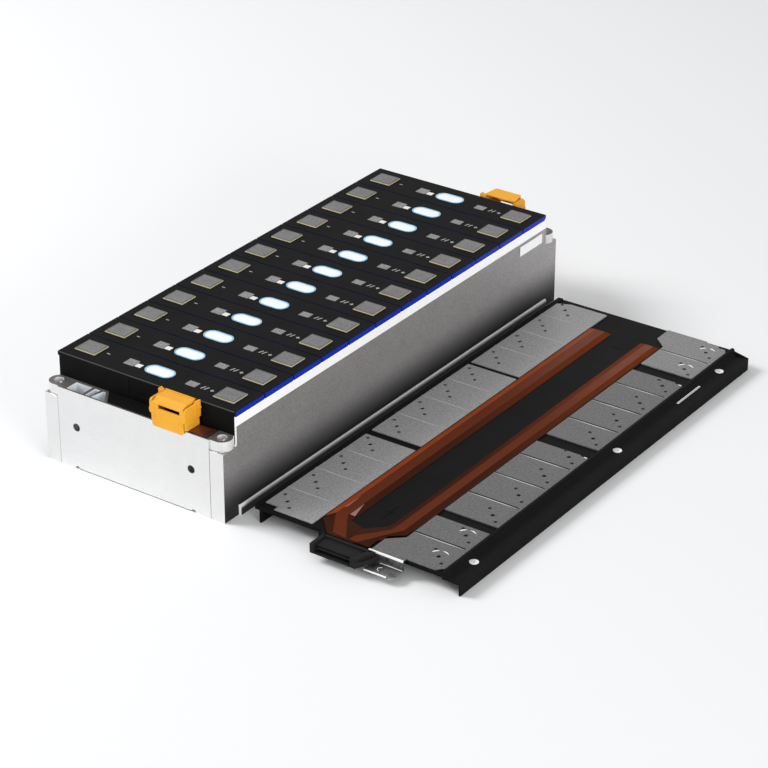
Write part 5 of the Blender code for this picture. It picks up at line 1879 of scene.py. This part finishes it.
@dataclass
class FlexCircuit:
    """The flexible circuit: a dark film with two raised brown strips that join at the near end,
    painted darker towards that end.

    Args:
        far_y: The far end of the strips, from the tray's middle.
        film_top: The film's height under the strips.
        strip_top: The strips' height.
        crest_inset: How far the strips' tops stop before their far end.
        lean_x: How much a normal leans along X at least on a strip's long slopes.
        lean_y: How much a normal leans along Y at least on its short slopes.
        sheen: The outlines of the pale slivers on the left strip.
    """

    far_y: float = 0.2283
    film_top: float = 0.0189
    strip_top: float = 0.0198
    crest_inset: float = 0.0004
    lean_x: float = 0.02
    lean_y: float = 0.01
    sheen: tuple[tuple[Point, ...], ...] = (
        ((-0.0352, -0.2300), (-0.0336, -0.2265), (-0.0342, -0.2039), (-0.0350, -0.2150)),
        ((-0.0230, -0.2376), (-0.0170, -0.2381), (-0.0232, -0.2144)),
    )

    def build(self) -> None:
        """Builds the circuit."""
        piece = Piece("flex_circuit_dressed", "flex_film", "flex_circuit")
        piece.add(packed_solid("flex_circuit"), FILM_DARK, 0.00015)
        self.add_strip(piece, *self.left_strip(), FILM_AMBER)
        self.add_strip(piece, *self.right_strip(), FILM_SLOPE_SHADED)
        for outline in self.sheen:
            patch = prism(outline, self.strip_top - SUNK, self.strip_top + 0.00003)
            piece.add(moved(patch, TRAY), FILM_SHEEN)
        piece.finish()

    def left_strip(self) -> tuple[list[Point], list[Point]]:
        """The left strip, which ends at the plug's left half.

        Returns:
            Its outline on the film and its outline on top.
        """
        foot = [
            (-0.0416, self.far_y),
            (-0.0416, -0.2512),
            (-0.0243, -0.2668),
            (-0.0243, -0.2745),
            (0.0014, -0.2754),
            (-0.0170, -0.2490),
            (-0.0158, -0.2380),
            (-0.0158, self.far_y),
        ]
        crest = [
            (-0.0354, self.far_y - self.crest_inset),
            (-0.0354, -0.2420),
            (-0.0328, -0.2478),
            (-0.0174, -0.2732),
            (-0.0010, -0.2750),
            (-0.0185, -0.2488),
            (-0.0238, -0.2400),
            (-0.0240, self.far_y - self.crest_inset),
        ]
        return foot, crest

    def right_strip(self) -> tuple[list[Point], list[Point]]:
        """The right strip, which bends in to the plug's right half.

        Returns:
            Its outline on the film and its outline on top.
        """
        foot = [
            (0.0200, self.far_y),
            (0.0200, -0.2250),
            (0.0178, -0.2346),
            (0.0008, -0.2514),
            (0.0018, -0.2755),
            (0.0252, -0.2752),
            (0.0252, -0.2516),
            (0.0420, -0.2372),
            (0.0420, self.far_y),
        ]
        crest = [
            (0.0260, self.far_y - self.crest_inset),
            (0.0260, -0.2300),
            (0.0251, -0.2386),
            (0.0036, -0.2660),
            (0.0024, -0.2750),
            (0.0118, -0.2748),
            (0.0244, -0.2522),
            (0.0356, -0.2330),
            (0.0356, self.far_y - self.crest_inset),
        ]
        return foot, crest

    def add_strip(
        self, piece: Piece, foot: list[Point], crest: list[Point], left_finish: Finish
    ) -> None:
        """Adds a raised strip with sloping sides.

        Args:
            piece: The circuit's piece.
            foot: The outline on the film.
            crest: The outline on top, with as many points.
            left_finish: The finish of the slope that looks to -X.
        """
        levels = ((foot, self.film_top), (crest, self.strip_top))
        loops = [[TRAY + Plane.XY.point(p, z) for p in outline] for outline, z in levels]
        strip = loft(loops)
        lean_x, lean_y = self.lean_x, self.lean_y
        for finish, test in (
            (FILM_TOP_SHADED, lambda n: n.z >= LEVEL),
            (FILM_DARK, lambda n: n.z < LEVEL and abs(n.y) >= lean_y),
            (left_finish, lambda n: n.x < -lean_x and abs(n.y) < lean_y),
            (FILM_SLOPE_SHADED, lambda n: n.x > lean_x and abs(n.y) < lean_y),
        ):
            part = strip.copy()
            part.normal_update()
            others = [face for face in part.faces if not test(face.normal)]
            bmesh.ops.delete(part, geom=others, context="FACES")
            piece.add(part, finish)
        strip.free()
        bmesh.ops.remove_doubles(piece.shape, verts=piece.shape.verts, dist=WELD)


@dataclass
class PlugHousing:
    """The plug housing: a body with an open mouth, a raised frame and a low wing at its right.

    Args:
        back_y: The body's back, from the tray's middle.
        front_y: The body's front.
        taper: How far the right side steps in at the front.
        slant: How far it steps out at the back.
        mouth_heights: The mouth's lower edge from the foot, and its upper edge under the deck.
        mouth_depth: How deep the mouth is.
        brow_depth: How far the deck is cut away over the mouth.
        shelf_y: Where the shelf in the mouth starts and ends, from the front.
        shelf_drops: The shelf's underside and top, under the deck.
        wing_x: The wing's outer corners, in front and at the back.
    """

    back_y: float = -0.2789
    front_y: float = -0.3010
    low: float = 0.0090
    deck: float = 0.0172
    frame_top: float = 0.0192
    left: float = -0.0240
    right: float = 0.0300
    taper: float = 0.0020
    slant: float = 0.0060
    post: float = 0.0040
    edge: float = 0.0003
    mouth_heights: Point = (0.0016, 0.0014)
    mouth_depth: float = 0.0150
    brow_depth: float = 0.0045
    shelf_y: Point = (0.0022, 0.0120)
    shelf_drops: Point = (0.0030, 0.0022)
    wing_x: Point = (0.0385, 0.0405)

    def build(self) -> None:
        """Builds the housing."""
        piece = Piece("plug_housing_dressed", "black_plastic", "plug_housing", TRAY)
        body = [
            (self.left, self.front_y),
            (self.right - self.taper, self.front_y),
            (self.right + self.slant, self.back_y),
            (self.left, self.back_y),
        ]
        solid = carved(prism(body, self.low, self.deck), self.mouth_cutters())
        piece.add(solid, PLUG_BLACK, self.edge)
        for outline in self.frame_outlines():
            piece.add(prism(outline, self.deck - 0.0006, self.frame_top), PLUG_BLACK, self.edge)
        left, right = self.mouth_x()
        (start, stop), (underside, top) = self.shelf_y, self.shelf_drops
        shelf_low = (left, self.front_y + start, self.deck - underside)
        shelf = block(shelf_low, (right, self.front_y + stop, self.deck - top))
        piece.add(shelf, PLUG_BLACK, 0.0002)
        wing = [
            (self.right - 0.0016, self.front_y + 0.0015),
            (self.wing_x[0], self.back_y - 0.0110),
            (self.wing_x[1], self.back_y),
            (self.right, self.back_y),
        ]
        piece.add(prism(wing, self.low + 0.0030, self.deck - 0.0012), PLUG_BLACK, self.edge)
        piece.finish()

    def mouth_x(self) -> Point:
        """The mouth's left and right edge."""
        return (self.left + self.post, self.right - 2 * self.post)

    def mouth_cutters(self) -> list[Solid]:
        """The cutters for the mouth and for the deck over it.

        Returns:
            The two cutters.
        """
        left, right = self.mouth_x()
        rise, drop = self.mouth_heights
        low = (left, self.front_y - THROUGH, self.low + rise)
        reaches = ((self.mouth_depth, self.deck - drop), (self.brow_depth, self.deck + THROUGH))
        return [block(low, (right, self.front_y + depth, top)) for depth, top in reaches]

    def frame_outlines(self) -> list[list[Point]]:
        """The outlines of the raised frame: the left post, the right post and the back bar.

        Returns:
            The three outlines.
        """
        front, back, width = self.front_y, self.back_y, self.post
        right_front = self.right - self.taper
        right_back = self.right + self.slant
        left_post = [(self.left, front), (self.left + width, front), (self.left + width, back)]
        left_post.append((self.left, back))
        right_post = [
            (right_front - 1.6 * width, front),
            (right_front, front),
            (right_back, back),
            (right_back - 1.6 * width, back),
        ]
        bar_front = back - width * 0.8
        back_bar = [
            (self.left + width / 2, bar_front),
            (right_back - width, bar_front),
            (right_back - width, back),
            (self.left + width / 2, back),
        ]
        return [left_post, right_post, back_bar]


@dataclass
class Tray:
    """The contact tray, put together from its carrier, plates, circuit and plug."""

    plates: tuple[BusbarPlate, ...] = (
        BusbarPlate(Side.LEFT, 1, (1, 2, 3), PLATE_LIT),
        BusbarPlate(Side.LEFT, 2, (5, 6, 7), PLATE_LIT),
        BusbarPlate(Side.LEFT, 3, (9, 10, 11), PLATE_LIT),
        BusbarPlate(Side.RIGHT, 1, (1,), PLATE_IN_SHADE, ringed_cells=(0, 1), tabbed=True),
        BusbarPlate(Side.RIGHT, 2, (3, 4, 5), PLATE_IN_SHADE, steps=((0.0950, 0.0022),), has_step_glint=True),
        BusbarPlate(Side.RIGHT, 3, (7, 8, 9), PLATE_IN_SHADE, steps=((0.0950, 0.0022),), has_step_glint=True),
        BusbarPlate(
            Side.RIGHT,
            4,
            (11,),
            PLATE_HALF_LIT,
            ringed_cells=(10, 11),
            steps=((0.0760, 0.0024), (0.0920, 0.0062)),
        ),
    )

    def build(self) -> None:
        """Builds the tray."""
        Carrier().build()
        for plate in self.plates:
            plate.build()
        FlexCircuit().build()
        PlugHousing().build()


@dataclass(frozen=True)
class Lamp:
    """A soft square lamp that points at the part's middle.

    Args:
        name: The lamp's name.
        place: Where it hangs.
        size: Its side.
        watts: Its power.
    """

    name: str
    place: tuple[float, float, float]
    size: float
    watts: float

    def build(self) -> None:
        """Hangs the lamp."""
        light = bpy.data.lights.new(self.name, "AREA")
        light.size = self.size
        light.energy = self.watts
        lamp = bpy.data.objects.new(self.name, light)
        lamp.location = self.place
        lamp.rotation_mode = "QUATERNION"
        lamp.rotation_quaternion = (-Vector(self.place)).to_track_quat("-Z", "Y")
        show(lamp)


@dataclass
class Studio:
    """The pale floor, the soft lamps and the camera at the photograph's angle.

    Args:
        camera_offset: The camera's place, from the module's middle.
        camera_pitch: How far it looks down, in degrees.
        camera_yaw: How far it is turned about Z, in degrees.
        lens: Its focal length in millimetres.
        sensor: The frame's width in millimetres.
        sky_strength: The even light from all round.
        background: How bright the background shows.
    """

    camera_offset: tuple[float, float, float] = (1.5356, -2.0546, 1.3488)
    camera_pitch: float = 27.936
    camera_yaw: float = 35.161
    lens: float = 129.32
    sensor: float = 36.0
    clip: Point = (0.01, 100.0)
    floor_half: float = 12.0
    floor_depth: float = 0.02
    floor_colour: Colour = (0.965, 0.968, 0.972)
    sky_strength: float = 0.5
    background: float = 0.95
    lamps: tuple[Lamp, ...] = (
        Lamp("key", (-2.6, -1.2, 2.4), 1.4, 92.0),
        Lamp("fill", (3.4, -1.6, 0.9), 1.6, 76.0),
    )

    def build(self) -> None:
        """Builds the studio."""
        self.add_floor()
        self.add_world()
        for lamp in self.lamps:
            lamp.build()
        self.add_camera()
        bpy.context.scene.view_settings.view_transform = "Standard"

    def add_floor(self) -> None:
        """Adds the floor, with its top at height 0."""
        half = self.floor_half
        slab = block((-half, -half, -self.floor_depth), (half, half, 0.0))
        floor = bpy.data.objects.new("floor", as_mesh(slab, "floor"))
        colour = self.floor_colour
        paper = Finish("floor_paper", colour, colour, gloss=(0.7, 0.8), specular=0.1)
        floor.data.materials.append(paper.material())
        show(floor)

    def add_world(self) -> None:
        """Adds an even sky that shows white to the camera and in mirrors."""
        world = bpy.data.worlds.new("studio")
        world.use_nodes = True
        bpy.context.scene.world = world
        tree = world.node_tree
        tree.nodes.clear()
        out = tree.nodes.new("ShaderNodeOutputWorld")
        path = tree.nodes.new("ShaderNodeLightPath")
        seen = path.outputs["Is Camera Ray"]
        for kind in ("Is Glossy Ray", "Is Transmission Ray"):
            either = tree.nodes.new("ShaderNodeMath")
            either.operation = "MAXIMUM"
            tree.links.new(seen, either.inputs[0])
            tree.links.new(path.outputs[kind], either.inputs[1])
            seen = either.outputs["Value"]
        mix = tree.nodes.new("ShaderNodeMixShader")
        tree.links.new(seen, mix.inputs["Fac"])
        for place, strength in ((1, self.sky_strength), (2, self.background)):
            sky = tree.nodes.new("ShaderNodeBackground")
            sky.inputs["Color"].default_value = (1.0, 1.0, 1.0, 1.0)
            sky.inputs["Strength"].default_value = strength
            tree.links.new(sky.outputs["Background"], mix.inputs[place])
        tree.links.new(mix.outputs["Shader"], out.inputs["Surface"])

    def add_camera(self) -> None:
        """Adds the camera."""
        data = bpy.data.cameras.new("camera")
        data.lens = self.lens
        data.sensor_width = self.sensor
        data.clip_start, data.clip_end = self.clip
        camera = bpy.data.objects.new("camera", data)
        camera.location = MODULE + Vector(self.camera_offset)
        tilt = math.radians(90 - self.camera_pitch)
        camera.rotation_euler = (tilt, 0.0, math.radians(self.camera_yaw))
        show(camera)
        bpy.context.scene.camera = camera


def main() -> None:
    """Builds the scene."""
    logging.basicConfig(level=logging.INFO)
    CellStack().build()
    for end in End:
        EndFrame(end).build()
    for side in Side:
        SidePlate(side).build()
    carry_over("label", WHITE_LABEL_AND_PAINTED_LIGHT)
    Tray().build()
    Studio().build()


if __name__ == "__main__":
    main()
